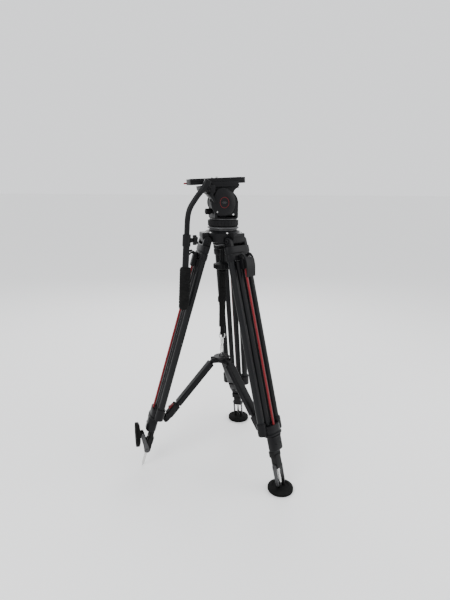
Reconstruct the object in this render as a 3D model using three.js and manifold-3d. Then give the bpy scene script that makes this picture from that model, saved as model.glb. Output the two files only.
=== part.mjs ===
// Twin-tube camera tripod with a mid-level spreader, a levelling bowl and a fluid head with one pan bar.
// Millimetres, +Z up. The head looks along +X. Legs are numbered counter-clockwise from above.
import * as THREE from 'three';
import { mergeVertices } from 'three/addons/utils/BufferGeometryUtils.js';
import ManifoldModule from 'manifold-3d';

const wasm = await ManifoldModule();
wasm.setup();
const group = new THREE.Group();

// Legs
const legAzimuths = [55, 175, 295];
const legSplay = 15.8;
const hipRadius = 64;
const hipHeight = 872;
const outerTubeOffset = 40.7;
const outerTubeRadius = 12;
const innerTubeOffset = 13.8;
const innerTubeRadius = 10;
const innerTubeForward = 3.7;
const lowerRodRadius = 7.8;
const redRodForward = 22;
const redRodRadius = 4;
const clampTop = 645;
const clampBottom = 697;
const middleBlockTop = 699;
const middleBlockBottom = 752;
const footPivot = 813;
const footForward = 4;
const forkReach = 66;
const padPivotHeight = 26;
const padRadius = 46;
const padThickness = 18;
const spikeTip = 886;
const foldedForkTurn = 150;

// Spreader
const hubHeight = 413;
const armPivotRadius = 33;
const armLugForward = -36;
const armLugDown = 700;

// Bowl, levelling ball and tie-down
const ballCentre = 915;
const ballRadius = 50;
const bowlTop = 895;
const bowlRim = 906;
const bowlBottom = 867;
const knobTop = 787;
const knobBottom = 762;
const strapThickness = 2.4;

// Head
const turntableBottom = 921.4;
const bodyBottom = 947;
const tiltAxisX = -8;
const tiltAxisZ = 1003;
const restTilt = 3.2;
const plateTop = 1085.5;
const plateBottom = 1065.4;
const barSide = -64;

// Materials
const look = (colour, roughness, metalness) =>
  new THREE.MeshStandardMaterial({ color: colour, roughness: roughness, metalness: metalness });
const carbon = look(0x1d1f21, 0.4, 0.0);
const casting = look(0x2b2d2f, 0.55, 0.2);
const darkCasting = look(0x1c1e20, 0.5, 0.2);
const greyAlloy = look(0x85888a, 0.4, 0.8);
const redParts = look(0xb01423, 0.4, 0.1);
const rubber = look(0x18191a, 0.85, 0.0);
const steel = look(0xb4b6b8, 0.3, 1.0);
const plastic = look(0x232527, 0.6, 0.0);
const webbing = look(0x111214, 0.95, 0.0);

const radians = (degrees) => degrees * Math.PI / 180;
const sineSplay = Math.sin(radians(legSplay));
const cosineSplay = Math.cos(radians(legSplay));

// Solid helpers -------------------------------------------------------------

function signedVolume(positions, triangles) {
  let total = 0;
  const a = new THREE.Vector3();
  const b = new THREE.Vector3();
  const c = new THREE.Vector3();
  for (let i = 0; i < triangles.length; i += 3) {
    a.fromArray(positions, 3 * triangles[i]);
    b.fromArray(positions, 3 * triangles[i + 1]);
    c.fromArray(positions, 3 * triangles[i + 2]);
    total += a.dot(b.cross(c));
  }
  return total / 6;
}

// Turns a closed three.js geometry into a solid for the boolean operations.
function solid(geometry) {
  const bare = new THREE.BufferGeometry();
  bare.setAttribute('position', geometry.getAttribute('position'));
  if (geometry.index) bare.setIndex(geometry.index);
  const welded = mergeVertices(bare, 1e-3);
  const positions = new Float32Array(welded.getAttribute('position').array);
  const source = welded.index.array;
  const triangles = [];
  for (let i = 0; i < source.length; i += 3) {
    const [p, q, r] = [source[i], source[i + 1], source[i + 2]];
    if (p !== q && q !== r && r !== p) triangles.push(p, q, r);
  }
  if (signedVolume(positions, triangles) < 0) triangles.reverse();
  const mesh = new wasm.Mesh({
    numProp: 3,
    vertProperties: positions,
    triVerts: new Uint32Array(triangles),
  });
  mesh.merge();
  return wasm.Manifold.ofMesh(mesh);
}

const fuse = (...parts) => wasm.Manifold.union(parts);
const cut = (body, ...tools) => body.subtract(wasm.Manifold.union(tools));

function addPart(name, body, material, place) {
  const mesh = body.getMesh();
  const geometry = new THREE.BufferGeometry();
  geometry.setAttribute('position', new THREE.BufferAttribute(new Float32Array(mesh.vertProperties), 3));
  geometry.setIndex(new THREE.BufferAttribute(new Uint32Array(mesh.triVerts), 1));
  if (place) geometry.applyMatrix4(place);
  const flat = geometry.toNonIndexed();
  flat.computeVertexNormals();
  const part = new THREE.Mesh(flat, material);
  part.name = name;
  group.add(part);
}

// Shape helpers -------------------------------------------------------------

function block(x0, x1, y0, y1, z0, z1) {
  const box = new THREE.BoxGeometry(x1 - x0, y1 - y0, z1 - z0);
  box.translate((x0 + x1) / 2, (y0 + y1) / 2, (z0 + z1) / 2);
  return solid(box);
}

function rodZ(radius, x, y, z0, z1, segments = 14, topRadius = radius) {
  const rod = new THREE.CylinderGeometry(topRadius, radius, z1 - z0, segments);
  rod.rotateX(Math.PI / 2);
  rod.translate(x, y, (z0 + z1) / 2);
  return solid(rod);
}

function rodY(radius, x, z, y0, y1, segments = 10) {
  const rod = new THREE.CylinderGeometry(radius, radius, y1 - y0, segments);
  rod.translate(x, (y0 + y1) / 2, z);
  return solid(rod);
}

function rodX(radius, y, z, x0, x1, segments = 10) {
  const rod = new THREE.CylinderGeometry(radius, radius, x1 - x0, segments);
  rod.rotateZ(-Math.PI / 2);
  rod.translate((x0 + x1) / 2, y, z);
  return solid(rod);
}

// A solid of revolution about Z from a closed list of [radius, height] points.
function turned(points, segments = 20) {
  const profile = points.map(([radius, height]) => new THREE.Vector2(radius, height));
  profile.push(profile[0].clone());
  const lathe = new THREE.LatheGeometry(profile, segments);
  lathe.rotateX(Math.PI / 2);
  return solid(lathe);
}

// A flat outline in X and Z, given thickness from y0 to y1, with optionally rounded edges.
function slabY(points, y0, y1, bevel = 0) {
  const outline = new THREE.Shape(points.map(([x, z]) => new THREE.Vector2(x, z)));
  const depth = y1 - y0 - 2 * bevel;
  const options = { depth: depth, bevelEnabled: bevel > 0, bevelSegments: 1 };
  options.bevelThickness = bevel;
  options.bevelSize = bevel;
  options.bevelOffset = -bevel;
  const slab = new THREE.ExtrudeGeometry(outline, options);
  slab.rotateX(Math.PI / 2);
  slab.translate(0, y1 - bevel, 0);
  return solid(slab);
}

// A flat outline in X and Y, given height from z0 to z1.
function slabZ(points, z0, z1, bevel = 0) {
  const outline = new THREE.Shape(points.map(([x, y]) => new THREE.Vector2(x, y)));
  const options = { depth: z1 - z0 - 2 * bevel, bevelEnabled: bevel > 0, bevelSegments: 1 };
  options.bevelThickness = bevel;
  options.bevelSize = bevel;
  options.bevelOffset = -bevel;
  const slab = new THREE.ExtrudeGeometry(outline, options);
  slab.translate(0, 0, z0 + bevel);
  return solid(slab);
}

// Points round an arc, centre (x, z), from one angle to another in degrees.
function arc(x, z, radius, from, to, steps, radiusZ = radius) {
  const points = [];
  for (let i = 0; i <= steps; i += 1) {
    const angle = radians(from + (to - from) * i / steps);
    points.push([x + radius * Math.cos(angle), z + radiusZ * Math.sin(angle)]);
  }
  return points;
}

// An oval with squared shoulders: halfX by halfY, centred at (x, 0).
function ovalPoints(x, halfX, halfY, power, count = 16) {
  const points = [];
  for (let i = 0; i < count; i += 1) {
    const angle = 2 * Math.PI * i / count;
    const c = Math.cos(angle);
    const s = Math.sin(angle);
    const px = Math.sign(c) * Math.abs(c) ** (2 / power);
    const py = Math.sign(s) * Math.abs(s) ** (2 / power);
    points.push([x + halfX * px, halfY * py]);
  }
  return points;
}

function roundedRectangle(x0, x1, y0, y1, radius, steps = 2) {
  return [
    ...arc(x1 - radius, y1 - radius, radius, 0, 90, steps),
    ...arc(x0 + radius, y1 - radius, radius, 90, 180, steps),
    ...arc(x0 + radius, y0 + radius, radius, 180, 270, steps),
    ...arc(x1 - radius, y0 + radius, radius, 270, 360, steps),
  ];
}

// Places. A leg's own frame has X outward from the leg, Y across it and Z up along it, hip at zero.
function legPlace(azimuth) {
  const place = new THREE.Matrix4().makeRotationZ(radians(azimuth));
  place.multiply(new THREE.Matrix4().makeTranslation(hipRadius, 0, hipHeight));
  return place.multiply(new THREE.Matrix4().makeRotationY(-radians(legSplay)));
}

const spinPlace = (azimuth) => new THREE.Matrix4().makeRotationZ(radians(azimuth));

// Turns about an axis along Y through (x, z), by degrees that carry +X towards -Z.
function turnAboutY(x, z, degrees) {
  const place = new THREE.Matrix4().makeTranslation(x, 0, z);
  place.multiply(new THREE.Matrix4().makeRotationY(radians(degrees)));
  return place.multiply(new THREE.Matrix4().makeTranslation(-x, 0, -z));
}

// Where the ground is, and how far leg 2 is let out so that its spike reaches it.
const padPivotDown = footPivot + forkReach;
const padPivotZ = hipHeight - padPivotDown * cosineSplay + footForward * sineSplay;
const ground = padPivotZ - padPivotHeight;
const spikeTipZ = hipHeight - spikeTip * cosineSplay + footForward * sineSplay;
const spikeLegExtension = (spikeTipZ - ground) / cosineSplay;

// Leg parts -----------------------------------------------------------------

function yoke() {
  const collar = slabZ(ovalPoints(0, 18.5, 57, 2.4), -68, -18, 2);
  const cheekOutline = [...arc(0, 0, 14, 0, 180, 5), [-15, -26], [15, -26]];
  const cheeks = [slabY(cheekOutline, -42, -28), slabY(cheekOutline, 28, 42)];
  const pin = fuse(rodY(5, 0, 0, -43, 43, 8), rodY(8, 0, 0, -46, -41, 6), rodY(8, 0, 0, 41, 46, 6));
  const housing = slabZ(roundedRectangle(10, 30, -14, 14, 3, 1), -102, -50);
  const sockets = [-1, 1].map((side) =>
    rodZ(outerTubeRadius + 0.3, 0, side * outerTubeOffset, -70, -30));
  const sleeveRoom = block(8, 16.2, -16, 16, -110, -68.2);
  const rodRoom = rodZ(redRodRadius + 0.3, redRodForward, 0, -104, -78, 8);
  const leverRoom = rodY(3.4, 27, -56, -16, 16, 8);
  const body = fuse(collar, ...cheeks, pin, housing);
  return cut(body, ...sockets, sleeveRoom, rodRoom, leverRoom);
}

function outerTube(side) {
  const y = side * outerTubeOffset;
  return cut(rodZ(outerTubeRadius, 0, y, -676, -32), rodZ(10, 0, y, -677, -31, 8));
}

function lowerClamp() {
  const collars = [-1, 1].map((side) =>
    rodZ(16.5, 0, side * outerTubeOffset, -690, -clampTop));
  const body = slabZ(ovalPoints(8, 21, 35, 2.6), -694, -660);
  const rim = slabZ(ovalPoints(8, 24, 39, 2.6), -clampBottom, -690);
  const lugOutline = [
    ...arc(armLugForward, -armLugDown, 8, 120, 300, 5),
    [-8, -694],
    [-8, -682],
  ];
  const lug = slabY(lugOutline, -6, 6);
  const tubeSockets = [-1, 1].map((side) =>
    rodZ(outerTubeRadius + 0.3, 0, side * outerTubeOffset, -677, -clampTop + 1));
  const slides = [-1, 1].map((side) =>
    rodZ(innerTubeRadius + 0.4, innerTubeForward, side * innerTubeOffset, -700, -640, 12));
  const rodSocket = rodZ(redRodRadius + 0.3, redRodForward, 0, -681, -640, 8);
  return cut(fuse(...collars, body, rim, lug), ...tubeSockets, ...slides, rodSocket);
}

function lockLever() {
  const flap = [
    [31.6, -50], [36, -47], [44, -53], [50, -64], [53, -78], [52, -98], [47, -118], [43, -132],
    [39.6, -131], [43.6, -116], [48, -98], [48.8, -79], [46, -67], [41, -58], [35, -54], [32, -56],
  ];
  const plate = slabY(flap, -21, 21);
  const ears = [-1, 1].map((side) => {
    const y0 = side > 0 ? 14.4 : -21;
    const outline = [...arc(27, -56, 6.5, 120, 300, 6), [38, -58], [40, -50]];
    return slabY(outline, y0, y0 + 6.6);
  });
  const pin = rodY(3, 27, -56, -16, 16, 8);
  const tipCorners = [-1, 1].map((side) => {
    const outline = [[30, side * 30], [60, side * 30], [60, side * 21.5], [30, side * 21.5]];
    const corner = slabZ(side > 0 ? outline.reverse() : outline, -140, -40);
    return corner.rotate([side * 12, 0, 0]).translate([0, side * 10.5, 0]);
  });
  const housingRoom = block(20, 60, -14.6, 14.6, -65, -40);
  return fuse(cut(plate, housingRoom, ...tipCorners), ...ears, pin);
}

const redRod = () => rodZ(redRodRadius, redRodForward, 0, -680, -80, 8);

function middleStage() {
  const tubes = [];
  const bores = [];
  const sleeves = [];
  for (const side of [-1, 1]) {
    const y = side * innerTubeOffset;
    tubes.push(rodZ(innerTubeRadius, innerTubeForward, y, -middleBlockBottom + 8, -77, 12));
    sleeves.push(rodZ(12, innerTubeForward, y, -102, -71, 12));
    bores.push(rodZ(lowerRodRadius + 0.5, innerTubeForward, y, -760, -60, 8));
  }
  const bridge = block(-1, 8.4, -5, 5, -96, -76);
  const rim = slabZ(ovalPoints(12, 20.5, 28.5, 2.8), -704, -middleBlockTop);
  const casting = slabZ(ovalPoints(12, 19, 27, 2.8), -middleBlockBottom, -702, 3);
  return cut(fuse(...tubes, ...sleeves, bridge, rim, casting), ...bores);
}

function lowerStage() {
  const rods = [-1, 1].map((side) =>
    rodZ(lowerRodRadius, innerTubeForward, side * innerTubeOffset, -762, -140, 8));
  const shoulder = slabZ(roundedRectangle(-8, 13, -22.5, 22.5, 5), -778, -756);
  const neckOutline = [...arc(footForward, -footPivot, 12, 180, 360, 6), [16, -770], [-8, -770]];
  const neck = slabY(neckOutline, -14.4, 14.4);
  const shank = rodZ(5, footForward, 0, -874, -815, 8);
  const cone = rodZ(1.2, footForward, 0, -spikeTip, -874, 8, 5);
  const nut = rodZ(8, footForward, 0, -832, -820, 6);
  const pivotRoom = rodY(4.5, footForward, -footPivot, -16, 16, 8);
  return cut(fuse(...rods, shoulder, neck, shank, cone, nut), pivotRoom);
}

function footFork() {
  const outline = [
    ...arc(footForward, -footPivot, 9, 0, 180, 5),
    ...arc(footForward, -padPivotDown, 7, 180, 360, 5),
  ];
  const arms = [slabY(outline, -19, -15), slabY(outline, 15, 19)];
  const pin = rodY(4, footForward, -footPivot, -17, 17, 8);
  const heads = [rodY(6, footForward, -footPivot, -22, -18, 6), rodY(6, footForward, -footPivot, 18, 22, 6)];
  const stubs = [-1, 1].map((side) => {
    const y = side > 0 ? [9.5, 21] : [-21, -9.5];
    return rodY(3, footForward, -padPivotDown, y[0], y[1], 6);
  });
  return fuse(...arms, pin, ...heads, ...stubs);
}

// The pad is drawn sole down, with its pivot at the origin.
function footPad() {
  const sole = -padPivotHeight;
  const top = sole + padThickness;
  const disc = turned([
    [0, sole], [padRadius - 2, sole], [padRadius, sole + 3], [padRadius, sole + 11],
    [padRadius - 3, sole + 14], [33, top], [29, top - 2.6], [0, top - 2.6],
  ], 18);
  const earOutline = [...arc(0, 0, 7, 0, 180, 4), [-11, top - 5], [11, top - 5]];
  const ears = [slabY(earOutline, -14.6, -8.6), slabY(earOutline, 8.6, 14.6)];
  return cut(fuse(disc, ...ears), rodY(3.6, 0, 0, -16, 16, 6));
}

function addLeg(index) {
  const name = `leg${index + 1}`;
  const azimuth = legAzimuths[index];
  const place = legPlace(azimuth);
  const onSpike = index === 1;
  const extension = onSpike ? spikeLegExtension : 0;
  const slid = place.clone().multiply(new THREE.Matrix4().makeTranslation(0, 0, -extension));
  const forkTurn = onSpike ? foldedForkTurn : 0;
  const forkPlace = slid.clone().multiply(turnAboutY(footForward, -footPivot, -forkTurn));
  const padPivot = new THREE.Vector3(footForward, 0, -padPivotDown).applyMatrix4(forkPlace);
  const padPlace = new THREE.Matrix4().makeTranslation(padPivot.x, padPivot.y, padPivot.z);
  padPlace.multiply(new THREE.Matrix4().makeRotationZ(radians(azimuth)));
  if (onSpike) padPlace.multiply(new THREE.Matrix4().makeRotationY(-Math.PI / 2));
  addPart(`${name}_yoke`, yoke(), casting, place);
  addPart(`${name}_outer_tube_a`, outerTube(-1), carbon, place);
  addPart(`${name}_outer_tube_b`, outerTube(1), carbon, place);
  addPart(`${name}_lower_clamp`, lowerClamp(), casting, place);
  addPart(`${name}_lock_lever`, lockLever(), casting, place);
  addPart(`${name}_red_rod`, redRod(), redParts, place);
  addPart(`${name}_middle_stage`, middleStage(), carbon, place);
  addPart(`${name}_lower_stage`, lowerStage(), darkCasting, slid);
  addPart(`${name}_foot_fork`, footFork(), greyAlloy, forkPlace);
  addPart(`${name}_foot_pad`, footPad(), rubber, padPlace);
}

// Spreader ------------------------------------------------------------------

const armLugRadius = hipRadius + armLugDown * sineSplay + armLugForward * cosineSplay;
const armLugHeight = hipHeight - armLugDown * cosineSplay + armLugForward * sineSplay;
const armRun = armLugRadius - armPivotRadius;
const armDrop = hubHeight - armLugHeight;
const armLength = Math.hypot(armRun, armDrop);
const armSlope = Math.atan2(armDrop, armRun) * 180 / Math.PI;

function spreaderHub() {
  const core = rodZ(22, 0, 0, hubHeight - 9, hubHeight + 8, 12);
  const cap = turned([[0, 421], [30, 421], [31, 423], [30, 426.5], [0, 426.5]], 18);
  const clevises = legAzimuths.map((azimuth) => {
    const blockOutline = roundedRectangle(8, 41, -12, 12, 3, 1);
    const clevis = slabZ(blockOutline, hubHeight - 10, hubHeight + 10);
    return clevis.rotate([0, 0, azimuth]);
  });
  const slots = legAzimuths.map((azimuth) =>
    block(23, 50, -7.2, 7.2, hubHeight - 20, hubHeight + 20).rotate([0, 0, azimuth]));
  const ring = new THREE.TorusGeometry(8, 2.2, 5, 12);
  ring.rotateX(Math.PI / 2);
  ring.translate(0, 0, 431);
    return cut(fuse(core, cap, ...clevises, solid(ring)), ...slots);
}

// Arms are drawn along +X from the hub pivot at the origin, then turned down to the leg.
function armPlace(azimuth) {
  const place = spinPlace(azimuth);
  place.multiply(new THREE.Matrix4().makeTranslation(armPivotRadius, 0, hubHeight));
  return place.multiply(new THREE.Matrix4().makeRotationY(radians(armSlope)));
}

function armSleeve() {
  const box = slabZ(roundedRectangle(-11, 11, -17, 17, 5), 14, 216).rotate([0, 90, 0]);
  const tongue = slabY([...arc(0, 0, 7, 90, 270, 5), [16, -7], [16, 7]], -6.8, 6.8);
  const room = block(40, 230, -12.4, 12.4, -6.9, 6.9);
  return cut(fuse(box, tongue), room);
}

function armBar() {
  const bar = block(60, 226, -12, 12, -6.5, 6.5);
  const endBlock = slabZ(roundedRectangle(-15, 13, -15, 15, 4), 222, 272).rotate([0, 90, 0]);
  const cheekOutline = [[262, -11], [armLength, -9], ...arc(armLength, 0, 9, -60, 60, 5), [armLength, 9], [262, 12]];
  const cheeks = [slabY(cheekOutline, -13, -6.8), slabY(cheekOutline, 6.8, 13)];
  const bolts = [rodY(5, armLength, 0, -15.5, -12.5, 8), rodY(5, armLength, 0, 12.5, 15.5, 8)];
  const latchRoom = block(220, 250, -8.4, 8.4, 9, 20);
  return cut(fuse(bar, endBlock, ...cheeks, ...bolts), latchRoom);
}

function armLatch() {
  const outline = [[228, 9.6], [244, 9.6], [248, 13], [252, 19], [248, 22.5], [240, 19], [228, 17]];
  return slabY(outline, -8, 8);
}

function addSpreader() {
  addPart('spreader_hub', spreaderHub(), casting);
  legAzimuths.forEach((azimuth, index) => {
    const place = armPlace(azimuth);
    addPart(`spreader_sleeve_${index + 1}`, armSleeve(), casting, place);
    addPart(`spreader_bar_${index + 1}`, armBar(), darkCasting, place);
    addPart(`spreader_latch_${index + 1}`, armLatch(), redParts, place);
  });
}

// Bowl and tie-down ---------------------------------------------------------

function spherePoints(radius, fromHeight, toHeight, steps) {
  const points = [];
  for (let i = 0; i <= steps; i += 1) {
    const z = fromHeight + (toHeight - fromHeight) * i / steps;
    points.push([Math.sqrt(radius * radius - (z - ballCentre) ** 2), z]);
  }
  return points;
}

function bowl() {
  const wall = rodZ(64, 0, 0, bowlBottom, bowlTop, 12, 68);
  const cone = rodZ(68, 0, 0, bowlTop, bowlRim, 12, 57);
  const faceTurn = legAzimuths[0] + 60 - 15;
  const outside = fuse(wall, cone).rotate([0, 0, faceTurn]);
  const underside = turned([[0, 857], ...spherePoints(66, 857, bowlBottom + 2, 2), [0, bowlBottom + 2]]);
  const lugs = legAzimuths.map((azimuth) => {
    const outline = [
      [40, bowlBottom], ...arc(hipRadius, hipHeight, 14.4, 200, 350, 6),
      [79, 878], [81, 883], [81, 890], [78, 893], [40, 893],
    ];
    return slabY(outline, -27.5, 27.5).rotate([0, 0, azimuth]);
  });
  const bolts = [];
  for (const azimuth of legAzimuths) {
    for (const side of [-31, 31]) {
      const angle = radians(azimuth + side);
      bolts.push(rodZ(3.5, 62 * Math.cos(angle), 62 * Math.sin(angle), bowlTop - 2, bowlTop + 7, 6));
    }
  }
  const seat = turned([[0, 850], [31.4, 850], ...spherePoints(51.1, 875, bowlRim + 1, 5), [0, bowlRim + 1]]);
  const cheekRooms = legAzimuths.flatMap((azimuth) => [-1, 1].map((side) => {
    const y = side > 0 ? [27.5, 47] : [-47, -27.5];
    return rodY(16, hipRadius, hipHeight, y[0], y[1], 12).rotate([0, 0, azimuth]);
  }));
  const pinRooms = legAzimuths.map((azimuth) =>
    rodY(5.5, hipRadius, hipHeight, -30, 30, 8).rotate([0, 0, azimuth]));
  return cut(fuse(outside, underside, ...lugs, ...bolts), seat, ...cheekRooms, ...pinRooms);
}

function ballBase() {
  return turned([
    [0, 792], [6, 792], [6, 871], ...spherePoints(ballRadius, 873, 911, 4),
    [55, 912.7], [56.2, 915], [50, 921], [18, 921], [18, 941], [0, 941],
  ]);
}

function clampCup() {
  const outer = spherePoints(70.4, 846.8, 855, 2);
  const inner = spherePoints(66.9, 859, 850.4, 2);
  return turned([...outer, ...inner], 20);
}

function tieDownKnob() {
  const body = turned([
    [0, knobBottom], [10, knobBottom], [33, knobBottom + 5], [34.5, knobBottom + 8],
    [34.5, knobTop - 5], [32, knobTop - 3], [10.5, knobTop + 2], [10.5, 835],
    [23, 839], [23, 842.5], [6.4, 842.5], [6.4, 790], [0, 790],
  ], 20);
  const flutes = [];
  for (let i = 0; i < 7; i += 1) {
    const angle = 2 * Math.PI * i / 7;
    flutes.push(rodZ(6, 38 * Math.cos(angle), 38 * Math.sin(angle), knobBottom - 1, knobTop + 1, 6));
  }
  return cut(body, ...flutes);
}

// The strap hangs in two layers: the upper one from the knob, the lower one from its slider to the hub.
function strapUpper() {
  const band = block(-12.5, 12.5, 0.4, 0.4 + strapThickness, 652, 752);
  const loop = cut(rodX(5, 2, 755, -12.5, 12.5, 10), rodX(2.4, 2, 755, -14, 14, 8));
  const slider = block(-16, 16, 0.4, 6, 640, 662);
  return fuse(band, loop, slider);
}

function strapLower() {
  const band = block(-12.5, 12.5, -0.4 - strapThickness, -0.4, 545, 690);
  const narrow = block(-8, 8, -0.4 - strapThickness, -0.4, 521, 546);
  const loop = cut(rodX(5.4, -1.6, 517, -8, 8, 10), rodX(3.1, -1.6, 517, -10, 10, 8));
  return fuse(band, narrow, loop);
}

function snapHook() {
  const ringOutline = [...arc(0, 508, 12.5, 180, 360, 8), [12.5, 518.7], [-12.5, 518.7]];
  const ringRoom = [...arc(0, 508, 9.1, 180, 360, 8), [9.1, 515.3], [-9.1, 515.3]];
  const ring = cut(slabY(ringOutline, -3.3, 0.1), slabY(ringRoom, -5, 2));
  const swivel = turned([[0, 476], [5, 476], [6, 479], [6, 494], [4, 498], [0, 499]], 10).translate([0, -1.6, 0]);
  const link = new THREE.CatmullRomCurve3([
    new THREE.Vector3(0, -1.6, 480), new THREE.Vector3(0, 6, 472), new THREE.Vector3(0, 10, 458),
    new THREE.Vector3(0, 9, 442), new THREE.Vector3(0, 0, 431.5), new THREE.Vector3(0, -9, 442),
    new THREE.Vector3(0, -12, 458), new THREE.Vector3(0, -8, 472),
  ], true);
  const section = new THREE.Shape();
  section.absarc(0, 0, 2.2, 0, 2 * Math.PI, false);
  const wire = new THREE.ExtrudeGeometry(section, { steps: 16, curveSegments: 3, extrudePath: link });
  return fuse(ring, swivel, solid(wire));
}

function addBowlAndStrap() {
  addPart('bowl', bowl(), casting);
  addPart('ball_base', ballBase(), greyAlloy);
  addPart('clamp_cup', clampCup(), greyAlloy);
  addPart('tie_down_knob', tieDownKnob(), plastic);
  addPart('strap_upper', strapUpper(), webbing);
  addPart('strap_lower', strapLower(), webbing);
  addPart('snap_hook', snapHook(), steel);
}

// Head ----------------------------------------------------------------------

function panRing() {
  const ring = turned([
    [44, 922], [54.5, 922], [54.5, 942], [44, 942],
  ], 28);
  const grooves = [];
  for (let i = 0; i < 14; i += 1) {
    const angle = 2 * Math.PI * i / 14;
    grooves.push(rodZ(2, 55.4 * Math.cos(angle), 55.4 * Math.sin(angle), 921, 939.5, 4));
  }
  return cut(ring, ...grooves);
}

function fork() {
  const turntable = cut(rodZ(43.4, 0, 0, turntableBottom, 945, 28), rodZ(18.7, 0, 0, 920, 943, 20));
  const band = rodZ(50, 0, 0, 943, 947.2, 24);
  const base = slabZ(roundedRectangle(-43, 43, -37, 37, 9, 3), bodyBottom, 959.5);
  const cheekOutline = [[-43, 950], [43, 950], ...arc(0, 1000, 43, 0, 180, 12, 44)];
  const cheeks = [slabY(cheekOutline, -37, -27), slabY(cheekOutline, 27, 37)];
  const farCover = turned([[0, 36], [39, 36], [39.5, 40], [36, 45], [0, 48.5]], 20);
  const cover = farCover.rotate([-90, 0, 0]).translate([tiltAxisX, 0, tiltAxisZ]);
  const screws = [[-35, 971], [24, 962]].map(([x, z]) => rodY(3.6, x, z, -39, -36, 8));
  const axle = [rodY(10, tiltAxisX, tiltAxisZ, -28, -20, 12), rodY(10, tiltAxisX, tiltAxisZ, 20, 28, 12)];
  const knobRoom = rodX(4.3, 0, 971, -50, -30, 10);
  const rearWall = block(-42.6, -38.6, -28, 28, 955, 977);
  return cut(fuse(turntable, band, base, ...cheeks, cover, ...screws, ...axle, rearWall), knobRoom);
}

function sideCap() {
  const dome = turned([
    [0, 37.3], [49.5, 37.3], [48, 42], [42, 45.5], [32, 48.2], [18.5, 49.8], [18, 50.4], [0, 50.4],
  ], 24);
  const shaped = dome.scale([0.9, 1, 1]).rotate([90, 0, 0]).translate([-13, 0, 1003]);
  const screwRooms = [[-35, 971], [24, 962]].map(([x, z]) => rodY(4.4, x, z, -52, -36, 8));
  return cut(shaped, ...screwRooms);
}

// Tips a level shape up at the front to the head's resting tilt.
function tippedUp(body) {
  const atAxis = body.translate([-tiltAxisX, 0, -tiltAxisZ]);
  return atAxis.rotate([0, -restTilt, 0]).translate([tiltAxisX, 0, tiltAxisZ]);
}

function tiltBody() {
  const drum = rodY(39.5, tiltAxisX, tiltAxisZ, -26.6, 26.6, 24);
  const neckOutline = [[-50, 1057], [-44, 1020], [26, 1018], [31, 1038], [38, 1047], [47, 1050], [49, 1057]];
  const neck = slabY(neckOutline, -26.6, 26.6);
  const platform = slabZ(roundedRectangle(-54, 51, -34, 34, 4, 1), 1055, plateBottom - 0.8, 1.5);
  const rails = [block(-50, 47, -34, -27.2, 1063, 1073), block(-50, 47, 27.2, 34, 1063, 1073)];
  const bracketOutline = [
    [-50, 1061], [-87, 1058.5], [-90, 1048], [-84, 1036], [-72, 1028], [-60, 1014], [-54, 1001],
    [-47, 1001], [-47, 1056],
  ];
  const capRoom = rodY(53, tiltAxisX, tiltAxisZ, -60, -26.8, 32);
  const bracket = cut(slabY(bracketOutline, -51.6, -22), capRoom);
  const web = slabY([[-52, 1064], [-88, 1060.5], [-86, 1046], [-60, 1036], [-46, 1048]], -30, 30);
  const axleRooms = rodY(10.6, tiltAxisX, tiltAxisZ, -30, 30, 12);
  const boltRoom = rodY(4.5, -74, 1048, -60, -30, 10);
  const leverRoom = rodY(3.5, -64, 1030, -60, -40, 8);
  const body = fuse(drum, tippedUp(fuse(neck, platform, ...rails, web)), bracket);
  return cut(body, axleRooms, boltRoom, leverRoom);
}

function cameraPlate() {
  const outline = [
    [-123, -26.6], [68, -26.6], ...arc(68, -16.6, 10, -90, 0, 4), ...arc(68, 16.6, 10, 0, 90, 4), [-123, 26.6],
  ];
  const plate = slabZ(outline, plateBottom, plateTop, 1.2);
  const slots = [block(-118, -28, -4.6, 4.6, 1080, 1090), block(2, 60, -4.6, 4.6, 1080, 1090)];
  const pin = rodZ(2.2, -38, 0, 1070, plateTop + 3, 8);
  const screwRoom = fuse(rodZ(5.4, -20, 0, 1064, 1090, 12), rodZ(11.2, -20, 0, 1060, 1075, 14));
  const groove = [block(-130, 90, -27, -25.4, 1075.5, 1078), block(-130, 90, 25.4, 27, 1075.5, 1078)];
  return cut(fuse(cut(plate, ...slots, ...groove), pin), screwRoom);
}

const plateScrew = () => fuse(rodZ(10.6, -20, 0, 1069.2, 1074.4, 14), rodZ(4.8, -20, 0, 1074, plateTop + 5, 12));

function plateLever() {
  const hub = rodZ(7, -44, 42, 1067, 1075, 12);
  const handle = slabZ([[-46, 36], [-44, 48], [-96, 50], [-127, 49], [-128, 42], [-96, 41]], 1068.5, 1074, 1);
  const stem = rodY(2.4, -44, 1071, 34.3, 40, 10);
  return fuse(hub, handle, stem);
}

function tiltLever() {
  const outline = [...arc(-64, 1030, 6.5, 30, 210, 6), [-53.5, 1005], ...arc(-50.5, 1006, 3.4, 200, 390, 5)];
  return fuse(slabY(outline, -57.5, -52.2), rodY(3, -64, 1030, -54, -42, 8));
}

function panKnob() {
  const grip = rodX(10.5, 0, 971, -66, -47, 12);
  const collar = rodX(7.5, 0, 971, -48, -43.5, 12);
  return fuse(grip, collar, rodX(4, 0, 971, -46, -38, 12));
}

// Pan bar -------------------------------------------------------------------

const barTop = new THREE.Vector3(-151, barSide, 900);
const barDirection = new THREE.Vector3(-14, 0, -259).normalize();

// A straight tube or rod along the lower part of the bar, between two distances below its top.
function alongBar(outerRadius, innerRadius, from, to, segments = 14) {
  const outer = rodZ(outerRadius, 0, 0, -to, -from, segments);
  const body = innerRadius ? outer.subtract(rodZ(innerRadius, 0, 0, -to - 1, -from + 1, segments)) : outer;
  const lean = Math.atan2(-barDirection.x, -barDirection.z) * 180 / Math.PI;
  return body.rotate([0, lean, 0]).translate([barTop.x, barTop.y, barTop.z]);
}

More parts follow.
